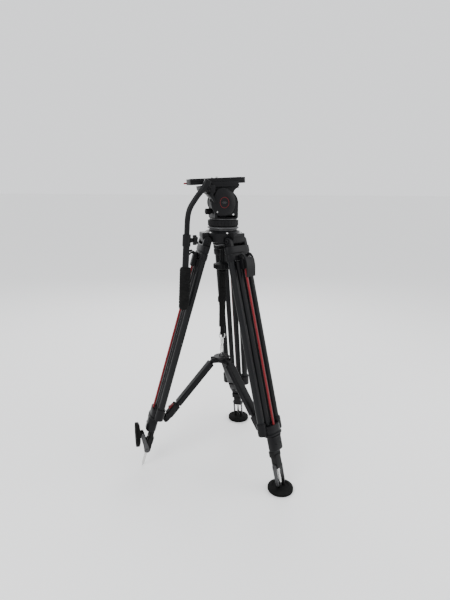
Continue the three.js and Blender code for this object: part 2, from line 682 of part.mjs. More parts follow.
function barUpper() {
  const end = barTop.clone().addScaledVector(barDirection, 190);
  const path = new THREE.CatmullRomCurve3([
    new THREE.Vector3(-90, barSide, 1050), new THREE.Vector3(-104, barSide, 1036),
    new THREE.Vector3(-129, barSide, 1004), new THREE.Vector3(-143, barSide, 979),
    new THREE.Vector3(-148.6, barSide, 950), barTop, end,
  ], false, 'centripetal');
  const section = new THREE.Shape();
  section.absarc(0, 0, 9.2, 0, 2 * Math.PI, false);
  const tube = new THREE.ExtrudeGeometry(section, { steps: 14, curveSegments: 6, extrudePath: path });
  const clamp = slabZ(roundedRectangle(-12, 12, -9, 9, 6), -20, 20);
  const placedClamp = clamp.rotate([0, 24, 0]).translate([-84, barSide, 1058]);
  const rosette = fuse(rodY(11.5, -74, 1048, -56, -52.2, 12), rodY(4, -74, 1048, -60, -36, 8));
  const boltHead = rodY(6.5, -74, 1048, -77, -70, 6);
  return fuse(solid(tube), placedClamp, rosette, boltHead);
}

function barLower() {
  const tube = alongBar(11.3, 9.6, 0, 240);
  const collar = alongBar(14, 9.6, 0, 41);
  const centre = barTop.clone().addScaledVector(barDirection, 20.5);
  const boss = cut(rodX(8, barSide, centre.z, centre.x, centre.x + 19),
    rodZ(12, centre.x, barSide, centre.z - 12, centre.z + 12));
  const knobRoom = rodX(3.5, barSide, centre.z, centre.x + 12, centre.x + 24, 8);
  return cut(fuse(tube, collar, boss), knobRoom);
}

function barKnob() {
  const centre = barTop.clone().addScaledVector(barDirection, 20.5);
  const x = centre.x + 20;
  const lobes = [];
  for (let i = 0; i < 5; i += 1) {
    const angle = 2 * Math.PI * i / 5;
    lobes.push(rodX(6.5, barSide + 11.5 * Math.cos(angle), centre.z + 11.5 * Math.sin(angle), x + 3, x + 16, 8));
  }
  return fuse(rodX(12.5, barSide, centre.z, x + 3, x + 16, 10), ...lobes,
    rodX(7, barSide, centre.z, x, x + 4, 8), rodX(3, barSide, centre.z, x - 5, x + 3, 8));
}

function barGrip() {
  const profile = [
    [11.6, -112], [17, -112.5], [19.2, -124], [18, -235], [17.4, -252],
    [14.5, -258.5], [0, -259.5], [0, -241], [11.6, -241],
  ];
  const body = turned(profile, 16);
  const lean = Math.atan2(-barDirection.x, -barDirection.z) * 180 / Math.PI;
  return body.rotate([0, lean, 0]).translate([barTop.x, barTop.y, barTop.z]);
}

function addHead() {
  addPart('pan_ring', panRing(), plastic);
  addPart('fork', fork(), darkCasting);
  addPart('side_cap', sideCap(), casting);
  addPart('pan_knob', panKnob(), plastic);
  addPart('tilt_body', tiltBody(), darkCasting);
  addPart('tilt_lever', tiltLever(), greyAlloy);
  addPart('camera_plate', tippedUp(cameraPlate()), casting);
  addPart('plate_screw', tippedUp(plateScrew()), steel);
  addPart('plate_lever', tippedUp(plateLever()), redParts);
  addPart('bar_upper', barUpper(), casting);
  addPart('bar_lower', barLower(), casting);
  addPart('bar_knob', barKnob(), plastic);
  addPart('bar_grip', barGrip(), rubber);
}

legAzimuths.forEach((azimuth, index) => addLeg(index));
addSpreader();
addBowlAndStrap();
addHead();

// The origin goes to the middle of the bottom of the bounding box.
group.updateMatrixWorld(true);
const bounds = new THREE.Box3().setFromObject(group);
const shift = new THREE.Vector3(-(bounds.min.x + bounds.max.x) / 2, -(bounds.min.y + bounds.max.y) / 2, -bounds.min.z);
for (const part of group.children) part.geometry.translate(shift.x, shift.y, shift.z);

export default group;
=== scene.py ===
"""A camera tripod with a fluid head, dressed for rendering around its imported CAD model.

Shapes are drawn in millimetres in three frames and placed by a matrix:
  the head frame, whose Z runs up the pan axis and whose X is the way the head points,
  a leg frame, with X outward, Y across and Z up the leg, its hip at zero,
  an arm frame, with X along a spreader arm from its hub pivot.
"""

import math

import bmesh
import bpy
from mathutils import Matrix, Vector


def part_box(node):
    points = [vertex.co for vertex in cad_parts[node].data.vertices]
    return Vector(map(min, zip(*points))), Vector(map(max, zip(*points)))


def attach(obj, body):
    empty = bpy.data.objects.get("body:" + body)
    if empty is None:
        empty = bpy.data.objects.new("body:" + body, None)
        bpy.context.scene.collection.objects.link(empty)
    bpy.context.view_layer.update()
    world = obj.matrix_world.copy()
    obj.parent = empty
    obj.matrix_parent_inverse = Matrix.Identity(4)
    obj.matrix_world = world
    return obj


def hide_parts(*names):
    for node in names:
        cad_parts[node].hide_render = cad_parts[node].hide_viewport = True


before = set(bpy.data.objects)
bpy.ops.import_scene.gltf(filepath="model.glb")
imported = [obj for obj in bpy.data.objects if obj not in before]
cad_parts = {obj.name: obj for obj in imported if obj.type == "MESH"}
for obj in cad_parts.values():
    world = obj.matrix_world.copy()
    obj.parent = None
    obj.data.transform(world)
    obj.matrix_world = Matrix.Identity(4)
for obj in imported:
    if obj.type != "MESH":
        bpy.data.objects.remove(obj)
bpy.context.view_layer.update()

# Driving dimensions, in millimetres and degrees, the same as the CAD model's.
LEG_AZIMUTHS = (55, 175, 295)
LEG_SPLAY = 15.8
HIP_RADIUS, HIP_HEIGHT = 64, 872
OUTER_TUBE_OFFSET, OUTER_TUBE_RADIUS = 40.7, 12
INNER_TUBE_OFFSET, INNER_TUBE_RADIUS, INNER_TUBE_FORWARD = 13.8, 10, 3.7
LOWER_ROD_RADIUS = 7.8
RED_ROD_FORWARD, RED_ROD_RADIUS = 22, 4
FOOT_PIVOT, FOOT_FORWARD, FORK_REACH = 813, 4, 66
PAD_PIVOT_HEIGHT, PAD_RADIUS, PAD_THICKNESS = 26, 46, 18
SPIKE_TIP, FOLDED_FORK_TURN = 886, 150
HUB_HEIGHT, ARM_PIVOT_RADIUS = 413, 33
ARM_LUG_FORWARD, ARM_LUG_DOWN = -36, 700
BALL_CENTRE, BALL_RADIUS = 915, 50
BOWL_TOP, BOWL_RIM, BOWL_BOTTOM = 895, 906, 867
KNOB_TOP, KNOB_BOTTOM = 787, 762
STRAP_THICKNESS = 2.4
TILT_X, TILT_Z, REST_TILT = -8, 1003, 3.2
PLATE_TOP, PLATE_BOTTOM = 1085.5, 1065.4
BAR_SIDE = -64
BAR_TOP = Vector((-151, BAR_SIDE, 900))
BAR_DIRECTION = Vector((-14, 0, -259)).normalized()
PAN_RING_BOTTOM = 922

# The camera's place in the head frame, its heading, pitch and roll in degrees, and its focal length.
CAMERA_PLACE = (-543.9, -1524.2, 1053.9)
CAMERA_ANGLES = (20, 14.116, 0.683)
CAMERA_LENS = 26.904

SINE, COSINE = math.sin(math.radians(LEG_SPLAY)), math.cos(math.radians(LEG_SPLAY))

# The head frame stands on the pan ring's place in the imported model.
ring_low, ring_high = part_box("pan_ring")
HEAD = Matrix.Translation(
    (
        (ring_low.x + ring_high.x) / 2,
        (ring_low.y + ring_high.y) / 2,
        ring_low.z - PAN_RING_BOTTOM / 1000,
    )
) @ Matrix.Scale(0.001, 4)


# Materials ------------------------------------------------------------------


class Nodes:
    """A short way to build one material's node tree."""

    def __init__(self, name):
        self.material = bpy.data.materials.new(name + "_look")
        self.material.use_nodes = True
        self.tree = self.material.node_tree
        self.shader = self.tree.nodes["Principled BSDF"]

    def add(self, kind, inputs=(), **settings):
        node = self.tree.nodes.new(kind)
        for key, value in settings.items():
            setattr(node, key, value)
        for key, value in dict(inputs).items():
            self.connect(value, node.inputs[key])
        return node

    def connect(self, value, socket):
        if isinstance(value, bpy.types.NodeSocket):
            self.tree.links.new(value, socket)
        else:
            socket.default_value = value

    def math(self, operation, a, b=0.0):
        node = self.add("ShaderNodeMath", operation=operation)
        self.connect(a, node.inputs[0])
        self.connect(b, node.inputs[1])
        return node.outputs[0]

    def noise(self, scale, detail=4.0, roughness=0.5, vector=None):
        if vector is None:
            vector = self.add("ShaderNodeTexCoord").outputs["Object"]
        inputs = {"Scale": scale, "Detail": detail, "Roughness": roughness, "Vector": vector}
        return self.add("ShaderNodeTexNoise", inputs).outputs["Fac"]

    def ramp(self, value, low, high, low_at=0.3, high_at=0.7):
        node = self.add("ShaderNodeValToRGB", {"Fac": value})
        node.color_ramp.elements[0].position = low_at
        node.color_ramp.elements[1].position = high_at
        node.color_ramp.elements[0].color = low
        node.color_ramp.elements[1].color = high
        return node.outputs["Color"]

    def span(self, value, low, high):
        node = self.add("ShaderNodeMapRange", {"Value": value, "To Min": low, "To Max": high})
        return node.outputs["Result"]

    def mix(self, share, a, b):
        node = self.add("ShaderNodeMix", data_type="RGBA")
        self.connect(share, node.inputs["Factor"])
        self.connect(a, node.inputs[6])
        self.connect(b, node.inputs[7])
        return node.outputs[2]

    def bump(self, height, distance, strength=0.5):
        node = self.add("ShaderNodeBump", {"Height": height, "Distance": distance, "Strength": strength})
        self.connect(node.outputs["Normal"], self.shader.inputs["Normal"])

    def set(self, **values):
        for key, value in values.items():
            self.connect(value, self.shader.inputs[key.replace("_", " ")])


def grey(value, tint=1.0):
    return (value, value, value * tint, 1)


def carbon_material():
    """A two-over-two twill of carbon tows under a satin coat, laid out by each tube's own UV map."""
    n = Nodes("carbon_tube")
    uv = n.add("ShaderNodeUVMap", uv_map="weave").outputs["UV"]
    split = n.add("ShaderNodeSeparateXYZ", {"Vector": uv})
    tow = 1 / 0.0022
    across = n.math("MULTIPLY", split.outputs["X"], tow)
    along = n.math("MULTIPLY", split.outputs["Y"], tow)
    step = n.math("ADD", n.math("FLOOR", across), n.math("FLOOR", along))
    warp = n.math("LESS_THAN", n.math("FLOORED_MODULO", step, 4.0), 2.0)
    crown_a = n.math("SINE", n.math("MULTIPLY", n.math("FRACT", across), math.pi))
    crown_b = n.math("SINE", n.math("MULTIPLY", n.math("FRACT", along), math.pi))
    height = n.add("ShaderNodeMix", {"Factor": warp}, data_type="FLOAT")
    n.connect(crown_b, height.inputs[2])
    n.connect(crown_a, height.inputs[3])
    colour = n.mix(warp, (0.0018, 0.0020, 0.0024, 1), (0.0060, 0.0065, 0.0075, 1))
    n.set(Base_Color=colour, Metallic=0.0, Roughness=n.span(n.noise(60), 0.30, 0.46))
    n.shader.inputs["Specular IOR Level"].default_value = 0.14
    n.shader.inputs["Coat Weight"].default_value = 0.05
    n.shader.inputs["Coat Roughness"].default_value = 0.25
    n.bump(height.outputs[0], 0.00012, 0.45)
    return n.material


def casting_material(name, dark, light, grain, bump_size):
    """Satin paint on a casting: a fine grain, slow patches of colour, and lighter rubbed spots."""
    n = Nodes(name)
    patches = n.noise(22, 3)
    fine = n.noise(grain, 6, 0.6)
    colour = n.mix(n.span(patches, 0.0, 1.0), dark, light)
    rubbed = n.ramp(n.noise(90, 8, 0.75), grey(0), grey(0.5), 0.66, 0.86)
    worn = tuple(min(1, c * 2.6) for c in light[:3]) + (1,)
    n.set(Base_Color=n.mix(rubbed, colour, worn), Metallic=0.0, Roughness=n.span(fine, 0.30, 0.50))
    n.shader.inputs["Specular IOR Level"].default_value = 0.13
    n.bump(fine, bump_size, 0.4)
    return n.material


def plastic_material():
    n = Nodes("black_plastic")
    place = n.add("ShaderNodeTexCoord").outputs["Object"]
    cells = n.add("ShaderNodeTexVoronoi", {"Scale": 1400.0, "Vector": place}).outputs["Distance"]
    colour = n.mix(n.noise(35, 3), (0.0028, 0.0028, 0.0032, 1), (0.0055, 0.0055, 0.0062, 1))
    n.set(Base_Color=colour, Roughness=n.span(n.noise(120, 4), 0.5, 0.66))
    n.shader.inputs["Specular IOR Level"].default_value = 0.12
    n.bump(cells, 0.00008, 0.35)
    return n.material


def rubber_material():
    n = Nodes("black_rubber")
    stipple = n.noise(1100, 3, 0.6)
    dust = n.ramp(n.noise(40, 6, 0.7), grey(0.0025), grey(0.0085, 0.98), 0.45, 0.8)
    n.shader.inputs["Specular IOR Level"].default_value = 0.1
    n.set(Base_Color=dust, Roughness=n.span(n.noise(75, 4), 0.68, 0.86))
    n.bump(stipple, 0.00012, 0.5)
    return n.material


def metal_material(name, low, high, rough_low, rough_high, grain=700, turned_lines=True):
    """Bare or anodised metal with machined lines that run round it, and soft smudges."""
    n = Nodes(name)
    place = n.add("ShaderNodeTexCoord").outputs["Object"]
    stretched = n.add("ShaderNodeMapping", {"Vector": place, "Scale": (1, 1, 14 if turned_lines else 1)})
    lines = n.noise(grain, 3, 0.5, stretched.outputs["Vector"])
    colour = n.mix(n.noise(30, 4), low, high)
    smudges = n.span(n.noise(55, 5, 0.7), rough_low, rough_high)
    n.set(Base_Color=colour, Metallic=0.9, Roughness=smudges)
    n.bump(lines, 0.00004, 0.3)
    return n.material


def red_material():
    n = Nodes("red_trim")
    colour = n.mix(n.noise(45, 4), (0.11, 0.0012, 0.004, 1), (0.19, 0.0025, 0.007, 1))
    n.set(Base_Color=colour, Metallic=0.35, Roughness=n.span(n.noise(150, 5), 0.28, 0.46))
    n.bump(n.noise(900, 3), 0.00003, 0.3)
    return n.material


def webbing_material():
    """Ribs of yarn across the webbing and a herringbone along it, from the UV map, with painted shade
    darkening the grooves.
    """
    n = Nodes("webbing")
    uv = n.add("ShaderNodeUVMap", uv_map="weave").outputs["UV"]
    split = n.add("ShaderNodeSeparateXYZ", {"Vector": uv})
    u = n.math("MULTIPLY", split.outputs["X"], 1 / 0.0016)
    v = n.math("MULTIPLY", split.outputs["Y"], 1 / 0.0011)
    zigzag = n.math("ABSOLUTE", n.math("SUBTRACT", n.math("FRACT", n.math("MULTIPLY", u, 0.25)), 0.5))
    rib = n.math("SINE", n.math("MULTIPLY", n.math("ADD", v, n.math("MULTIPLY", zigzag, 4.0)), math.tau))
    warp = n.math("SINE", n.math("MULTIPLY", u, math.pi))
    height = n.math("ADD", n.math("MULTIPLY", rib, 0.5), n.math("MULTIPLY", warp, 0.5))
    # Painted shade: the colour follows the weave's height, darker in the low grooves and lighter on the
    # raised ribs.
    colour = n.ramp(n.math("ADD", n.math("MULTIPLY", height, 0.4), 0.5), grey(0.002), grey(0.008), 0.2, 0.9)
    n.set(Base_Color=colour, Roughness=0.9)
    n.shader.inputs["Sheen Weight"].default_value = 0.05
    n.shader.inputs["Specular IOR Level"].default_value = 0.1
    n.bump(height, 0.0002, 0.6)
    return n.material


CARBON = carbon_material()
CASTING = casting_material("black_casting", grey(0.0025, 1.15), grey(0.0055, 1.18), 520, 0.00010)
DARK_ROD = casting_material("black_rod", grey(0.0025, 1.05), grey(0.005, 1.08), 900, 0.00003)
ALLOY = metal_material("grey_alloy", grey(0.045, 1.03), grey(0.085, 1.03), 0.34, 0.52)
STEEL = metal_material("bare_steel", grey(0.52, 0.98), grey(0.66, 0.99), 0.18, 0.34)
RED = red_material()
RUBBER = rubber_material()
PLASTIC = plastic_material()
WEBBING = webbing_material()


# Meshes ---------------------------------------------------------------------


def new_object(bm, name="shape"):
    mesh = bpy.data.meshes.new(name)
    bmesh.ops.recalc_face_normals(bm, faces=bm.faces)
    bm.to_mesh(mesh)
    bm.free()
    obj = bpy.data.objects.new(name, mesh)
    bpy.context.scene.collection.objects.link(obj)
    return obj


def lathe(profile, place=Matrix(), segments=56):
    """A closed list of (radius, height) points turned about Z. Points at radius 0 become single vertices."""
    bm = bmesh.new()
    uv = bm.loops.layers.uv.new("weave")
    rings = []
    for radius, height in profile:
        if radius < 1e-6:
            rings.append([bm.verts.new(place @ Vector((0, 0, height)))])
            continue
        ring = []
        for i in range(segments):
            angle = math.tau * i / segments
            point = Vector((radius * math.cos(angle), radius * math.sin(angle), height))
            ring.append(bm.verts.new(place @ point))
        rings.append(ring)
    for k, ring in enumerate(rings):
        above = rings[(k + 1) % len(rings)]
        if len(ring) == 1 and len(above) == 1:
            continue
        lengths = (profile[k][1], profile[(k + 1) % len(rings)][1])
        across = max(profile[k][0], profile[(k + 1) % len(rings)][0])
        for i in range(segments):
            j = (i + 1) % segments
            corners = [(ring[i % len(ring)], i, 0), (ring[j % len(ring)], i + 1, 0),
                       (above[j % len(above)], i + 1, 1), (above[i % len(above)], i, 1)]
            seen, unique = set(), []
            for corner in corners:
                if corner[0] not in seen:
                    seen.add(corner[0])
                    unique.append(corner)
            face = bm.faces.new([corner[0] for corner in unique])
            for loop, corner in zip(face.loops, unique):
                u = math.tau * corner[1] / segments * across / 1000
                loop[uv].uv = (u, lengths[corner[2]] / 1000)
    return new_object(bm)


def axis_place(start, direction):
    """A matrix that carries Z to a direction, from a start point."""
    return Matrix.Translation(start) @ Vector(direction).to_track_quat("Z", "Y").to_matrix().to_4x4()


def rod(radius, start, end, edge=0.6, bore=0, segments=48):
    """A round bar or tube between two points, with its end edges eased."""
    start, end = Vector(start), Vector(end)
    length = (end - start).length
    e = min(edge, length / 3, radius / 3)
    outline = [(radius - e, 0), (radius, e), (radius, length - e), (radius - e, length)]
    inside = [(bore, length), (bore, 0)] if bore else [(0, length), (0, 0)]
    return lathe(outline + inside, axis_place(start, end - start), segments)


def rod_z(radius, x, y, z0, z1, **options):
    return rod(radius, (x, y, z0), (x, y, z1), **options)


def rod_y(radius, x, z, y0, y1, **options):
    return rod(radius, (x, y0, z), (x, y1, z), **options)


def rod_x(radius, y, z, x0, x1, **options):
    return rod(radius, (x0, y, z), (x1, y, z), **options)


def prism(outline, low, high, to_point, bevel):
    """A flat outline given thickness, with its sharp edges rounded by bevel."""
    bm = bmesh.new()
    uv = bm.loops.layers.uv.new("weave")
    bottom = [bm.verts.new(to_point(a, b, low)) for a, b in outline]
    top = [bm.verts.new(to_point(a, b, high)) for a, b in outline]
    bm.faces.new(bottom)
    bm.faces.new(top)
    for i in range(len(outline)):
        j = (i + 1) % len(outline)
        bm.faces.new([bottom[i], bottom[j], top[j], top[i]])
    bmesh.ops.recalc_face_normals(bm, faces=bm.faces)
    if bevel:
        sharp = [e for e in bm.edges if e.calc_face_angle(0) > math.radians(30)]
        bmesh.ops.bevel(
            bm, geom=sharp, offset=bevel, segments=3, profile=0.5, affect="EDGES", clamp_overlap=True
        )
    for face in bm.faces:
        for loop in face.loops:
            point = loop.vert.co
            loop[uv].uv = (point.x / 1000, point.z / 1000)
    return new_object(bm)


def slab_y(outline, y0, y1, bevel=0.8):
    return prism(outline, y0, y1, lambda a, b, t: Vector((a, t, b)), bevel)


def slab_z(outline, z0, z1, bevel=0.8):
    return prism(outline, z0, z1, lambda a, b, t: Vector((a, b, t)), bevel)


def slab_x(outline, x0, x1, bevel=0.8):
    return prism(outline, x0, x1, lambda a, b, t: Vector((t, a, b)), bevel)


def block(x0, x1, y0, y1, z0, z1, bevel=0.0):
    return slab_z([(x0, y0), (x1, y0), (x1, y1), (x0, y1)], z0, z1, bevel)


def arc(x, z, radius, start, end, steps=12, radius_z=None):
    points = []
    for i in range(steps + 1):
        angle = math.radians(start + (end - start) * i / steps)
        points.append((x + radius * math.cos(angle), z + (radius_z or radius) * math.sin(angle)))
    return points


def oval(x, half_x, half_y, power, count=56):
    points = []
    for i in range(count):
        c, s = math.cos(math.tau * i / count), math.sin(math.tau * i / count)
        px = math.copysign(abs(c) ** (2 / power), c)
        py = math.copysign(abs(s) ** (2 / power), s)
        points.append((x + half_x * px, half_y * py))
    return points


def rounded(x0, x1, y0, y1, radius, steps=6):
    return (
        arc(x1 - radius, y1 - radius, radius, 0, 90, steps)
        + arc(x0 + radius, y1 - radius, radius, 90, 180, steps)
        + arc(x0 + radius, y0 + radius, radius, 180, 270, steps)
        + arc(x1 - radius, y0 + radius, radius, 270, 360, steps)
    )


def sweep(points, radius, closed=False, steps=10, segments=20):
    """A round wire or tube along a smooth curve through points."""
    curve = bpy.data.curves.new("sweep", "CURVE")
    curve.dimensions = "3D"
    curve.bevel_depth = radius
    curve.bevel_resolution = segments // 4
    curve.resolution_u = steps
    curve.use_fill_caps = True
    spline = curve.splines.new("NURBS")
    spline.points.add(len(points) - 1)
    for point, place in zip(spline.points, points):
        point.co = (*place, 1)
    spline.order_u = 3
    spline.use_cyclic_u = closed
    spline.use_endpoint_u = not closed
    temporary = bpy.data.objects.new("sweep", curve)
    bpy.context.scene.collection.objects.link(temporary)
    bpy.context.view_layer.update()
    mesh = bpy.data.meshes.new_from_object(temporary.evaluated_get(bpy.context.evaluated_depsgraph_get()))
    bpy.data.objects.remove(temporary)
    bm = bmesh.new()
    bm.from_mesh(mesh)
    bm.loops.layers.uv.verify()
    return new_object(bm)


def cut(obj, *tools):
    """Takes the tools' shapes out of obj."""
    for tool in tools:
        modifier = obj.modifiers.new("cut", "BOOLEAN")
        modifier.operation = "DIFFERENCE"
        modifier.solver = "EXACT"
        modifier.object = tool
    bpy.context.view_layer.update()
    mesh = bpy.data.meshes.new_from_object(obj.evaluated_get(bpy.context.evaluated_depsgraph_get()))
    obj.modifiers.clear()
    obj.data = mesh
    for tool in tools:
        bpy.data.objects.remove(tool)
    return obj


def moved(obj, matrix):
    obj.data.transform(matrix)
    return obj


def piece(name, body, material, nodes, shapes, place=Matrix(), bevel=0.0):
    """Joins shapes into one named piece in the row frame, riding on a body and standing for CAD nodes."""
    bm = bmesh.new()
    for shape in shapes:
        bm.from_mesh(shape.data)
        bpy.data.objects.remove(shape)
    bm.transform(HEAD @ place)
    for face in bm.faces:
        face.smooth = True
    for edge in bm.edges:
        if edge.is_manifold and edge.calc_face_angle(0) > math.radians(38):
            edge.smooth = False
    mesh = bpy.data.meshes.new(name)
    bm.to_mesh(mesh)
    bm.free()
    obj = bpy.data.objects.new(name, mesh)
    bpy.context.scene.collection.objects.link(obj)
    mesh.materials.append(material)
    if bevel:
        modifier = obj.modifiers.new("edges", "BEVEL")
        modifier.width = bevel / 1000
        modifier.segments = 2
        modifier.limit_method = "ANGLE"
        modifier.angle_limit = math.radians(38)
        modifier.use_clamp_overlap = True
        modifier.harden_normals = False
    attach(obj, body)
    if nodes:
        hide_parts(*nodes)
    return obj


def screw_head(radius, place_at, direction, height):
    """A round screw head with a six-sided socket, its flat under side at place_at."""
    place = axis_place(place_at, direction)
    head = [(radius, 0), (radius, height * 0.7), (radius * 0.86, height), (0, height), (0, 0)]
    across, floor, rim = radius * 0.5, height * 0.35, height + 1
    socket = [(across, floor), (across, rim), (0, rim), (0, floor)]
    return cut(lathe(head, place, 32), lathe(socket, place, 6))


def turn_y(x, z, degrees):
    """A turn about an axis along Y through (x, z) that carries +X towards -Z."""
    about = Matrix.Translation((x, 0, z))
    return about @ Matrix.Rotation(math.radians(degrees), 4, "Y") @ about.inverted()


def spin(azimuth):
    return Matrix.Rotation(math.radians(azimuth), 4, "Z")


# Legs -----------------------------------------------------------------------


def leg_place(azimuth):
    lean = Matrix.Rotation(-math.radians(LEG_SPLAY), 4, "Y")
    return spin(azimuth) @ Matrix.Translation((HIP_RADIUS, 0, HIP_HEIGHT)) @ lean


def yoke_shapes():
    upper = slab_z(oval(0, 18.5, 57, 2.4), -44, -18, 3)
    waist = slab_z(oval(0, 16.4, 54.5, 2.4), -48, -43, 0)
    lower = slab_z(oval(0, 18.5, 57, 2.4), -68, -47, 1.8)
    cheek = arc(0, 0, 14, 0, 180, 20) + [(-15, -26), (15, -26)]
    shapes = [upper, waist, lower, slab_y(cheek, -42, -28, 1.2), slab_y(cheek, 28, 42, 1.2)]
    for side in (-1, 1):
        shapes.append(screw_head(8, (0, 41.5 * side, 0), (0, side, 0), 4.2))
        shapes.append(rod_z(13.4, 0, side * OUTER_TUBE_OFFSET, -70, -60, edge=1))
    housing = slab_z(rounded(10, 30, -14, 14, 3), -102, -50, 1.2)
    room = block(8, 16.2, -16, 16, -110, -68.2)
    lever_room = rod_y(3.4, 27, -56, -16, 16)
    shapes.append(cut(housing, room, lever_room))
    shapes.append(rod_y(5, 0, 0, -43, 43))
    return shapes


def carbon_tube(side, low, high, radius, forward, bore):
    y = side
    return rod_z(radius, forward, y, low, high, edge=0.3, bore=bore, segments=56)


def tube_rooms(radius, low, high):
    """The two holes that a leg's inner tubes or rods pass through."""
    return [rod_z(radius, INNER_TUBE_FORWARD, side * INNER_TUBE_OFFSET, low, high) for side in (-1, 1)]


def lower_clamp_shapes():
    shapes = []
    for side in (-1, 1):
        y = side * OUTER_TUBE_OFFSET
        shapes.append(rod_z(16.5, 0, y, -690, -645, edge=2, bore=12.2, segments=56))
    hole_radius = INNER_TUBE_RADIUS + 0.4
    body = cut(slab_z(oval(8, 21, 35, 2.6), -694, -660, 2), *tube_rooms(hole_radius, -720, -640))
    rim = cut(slab_z(oval(8, 24, 39, 2.6), -697, -689.5, 1.6), *tube_rooms(hole_radius, -720, -640))
    lug = arc(ARM_LUG_FORWARD, -ARM_LUG_DOWN, 8, 120, 300, 14) + [(-8, -694), (-8, -682)]
    shapes += [body, rim, slab_y(lug, -6, 6, 0.8)]
    for side in (-1, 1):
        shapes.append(screw_head(3.2, (16, side * 33.5, -672), (0.35, side, 0), 2.4))
    return shapes


def lever_shapes():
    flap = [
        (31.6, -50), (36, -47), (44, -53), (50, -64), (53, -78), (52, -98), (47, -118), (43, -132),
        (39.6, -131), (43.6, -116), (48, -98), (48.8, -79), (46, -67), (41, -58), (35, -54), (32, -56),
    ]
    corners = []
    for side in (-1, 1):
        outline = [(30, side * 30), (60, side * 30), (60, side * 21.5), (30, side * 21.5)]
        corner = slab_z(outline, -140, -40, 0)
        tip = Matrix.Translation((0, side * 10.5, 0)) @ Matrix.Rotation(math.radians(side * 12), 4, "X")
        corners.append(moved(corner, tip))
    room = block(20, 60, -14.6, 14.6, -65, -40)
    shapes = [cut(slab_y(flap, -21, 21, 0), room, *corners)]
    for y in (-21, 14.4):
        ear = arc(27, -56, 6.5, 120, 300, 12) + [(38, -58), (40, -50)]
        shapes.append(slab_y(ear, y, y + 6.6, 0.8))
    shapes.append(rod_y(3, 27, -56, -16, 16))
    return shapes


def middle_stage_shapes():
    tubes, fittings = [], []
    for side in (-1, 1):
        y = side * INNER_TUBE_OFFSET
        tubes.append(carbon_tube(y, -744, -77, INNER_TUBE_RADIUS, INNER_TUBE_FORWARD, 8.2))
        fittings.append(rod_z(12, INNER_TUBE_FORWARD, y, -102, -71, edge=1, bore=8.2))
    fittings.append(block(-1, 8.4, -5, 5, -96, -76, 0.8))
    fittings.append(cut(slab_z(oval(12, 19, 27, 2.8), -752, -702, 4), *tube_rooms(8.2, -760, -690)))
    fittings.append(cut(slab_z(oval(12, 20.5, 28.5, 2.8), -704, -699, 1), *tube_rooms(8.2, -760, -690)))
    for side in (-1, 1):
        fittings.append(screw_head(3, (30, side * 12, -728), (1, 0, 0), 1.6))
    return tubes, fittings


def lower_stage_shapes():
    rods = [rod_z(LOWER_ROD_RADIUS, INNER_TUBE_FORWARD, s * INNER_TUBE_OFFSET, -762, -140) for s in (-1, 1)]
    neck = arc(FOOT_FORWARD, -FOOT_PIVOT, 12, 180, 360, 20) + [(16, -770), (-8, -770)]
    shoulder = slab_z(rounded(-8, 13, -22.5, 22.5, 5), -778, -756, 1.2)
    pivot_room = rod_y(4.3, FOOT_FORWARD, -FOOT_PIVOT, -16, 16)
    casting = [*rods, shoulder, cut(slab_y(neck, -14.4, 14.4, 1.2), pivot_room)]
    steel = [
        rod_z(5, FOOT_FORWARD, 0, -874, -815, edge=0.2),
        lathe(
            [(0, -SPIKE_TIP), (1.2, -SPIKE_TIP), (5, -874), (0, -874)],
            Matrix.Translation((FOOT_FORWARD, 0, 0)),
        ),
        rod_z(8, FOOT_FORWARD, 0, -832, -820, segments=6),
    ]
    return casting, steel


def fork_shapes():
    reach = FOOT_PIVOT + FORK_REACH
    outline = arc(FOOT_FORWARD, -FOOT_PIVOT, 9, 0, 180, 16) + arc(FOOT_FORWARD, -reach, 7, 180, 360, 16)
    shapes = [slab_y(outline, -19, -15, 0.7), slab_y(outline, 15, 19, 0.7)]
    shapes.append(rod_y(4, FOOT_FORWARD, -FOOT_PIVOT, -17, 17))
    for side in (-1, 1):
        shapes.append(screw_head(6, (FOOT_FORWARD, side * 18.5, -FOOT_PIVOT), (0, side, 0), 3.5))
        shapes.append(rod_y(3, FOOT_FORWARD, -reach, *sorted((side * 9.5, side * 21))))
    return shapes


def pad_shapes():
    sole = -PAD_PIVOT_HEIGHT
    top = sole + PAD_THICKNESS
    profile = [
        (0, sole), (PAD_RADIUS - 3, sole), (PAD_RADIUS - 0.8, sole + 1), (PAD_RADIUS, sole + 3),
        (PAD_RADIUS, sole + 6), (PAD_RADIUS - 1.2, sole + 7), (PAD_RADIUS, sole + 8), (PAD_RADIUS, sole + 11),
        (PAD_RADIUS - 1, sole + 13), (PAD_RADIUS - 3, sole + 14.2), (34, top - 0.2), (33, top), (31, top),
        (29, top - 2.6), (0, top - 2.6),
    ]
    ear = arc(0, 0, 7, 0, 180, 14) + [(-11, top - 5), (11, top - 5)]
    ears = []
    for y in (-14.6, 8.6):
        ears.append(cut(slab_y(ear, y, y + 6, 0.7), rod_y(3.3, 0, 0, -16, 16)))
    grips = []
    for i in range(10):
        grips.append(moved(block(34, 42, -1.6, 1.6, top - 4.2, top - 2.4, 0.6), spin(36 * i)))
    return [lathe(profile, segments=72), *ears, *grips]


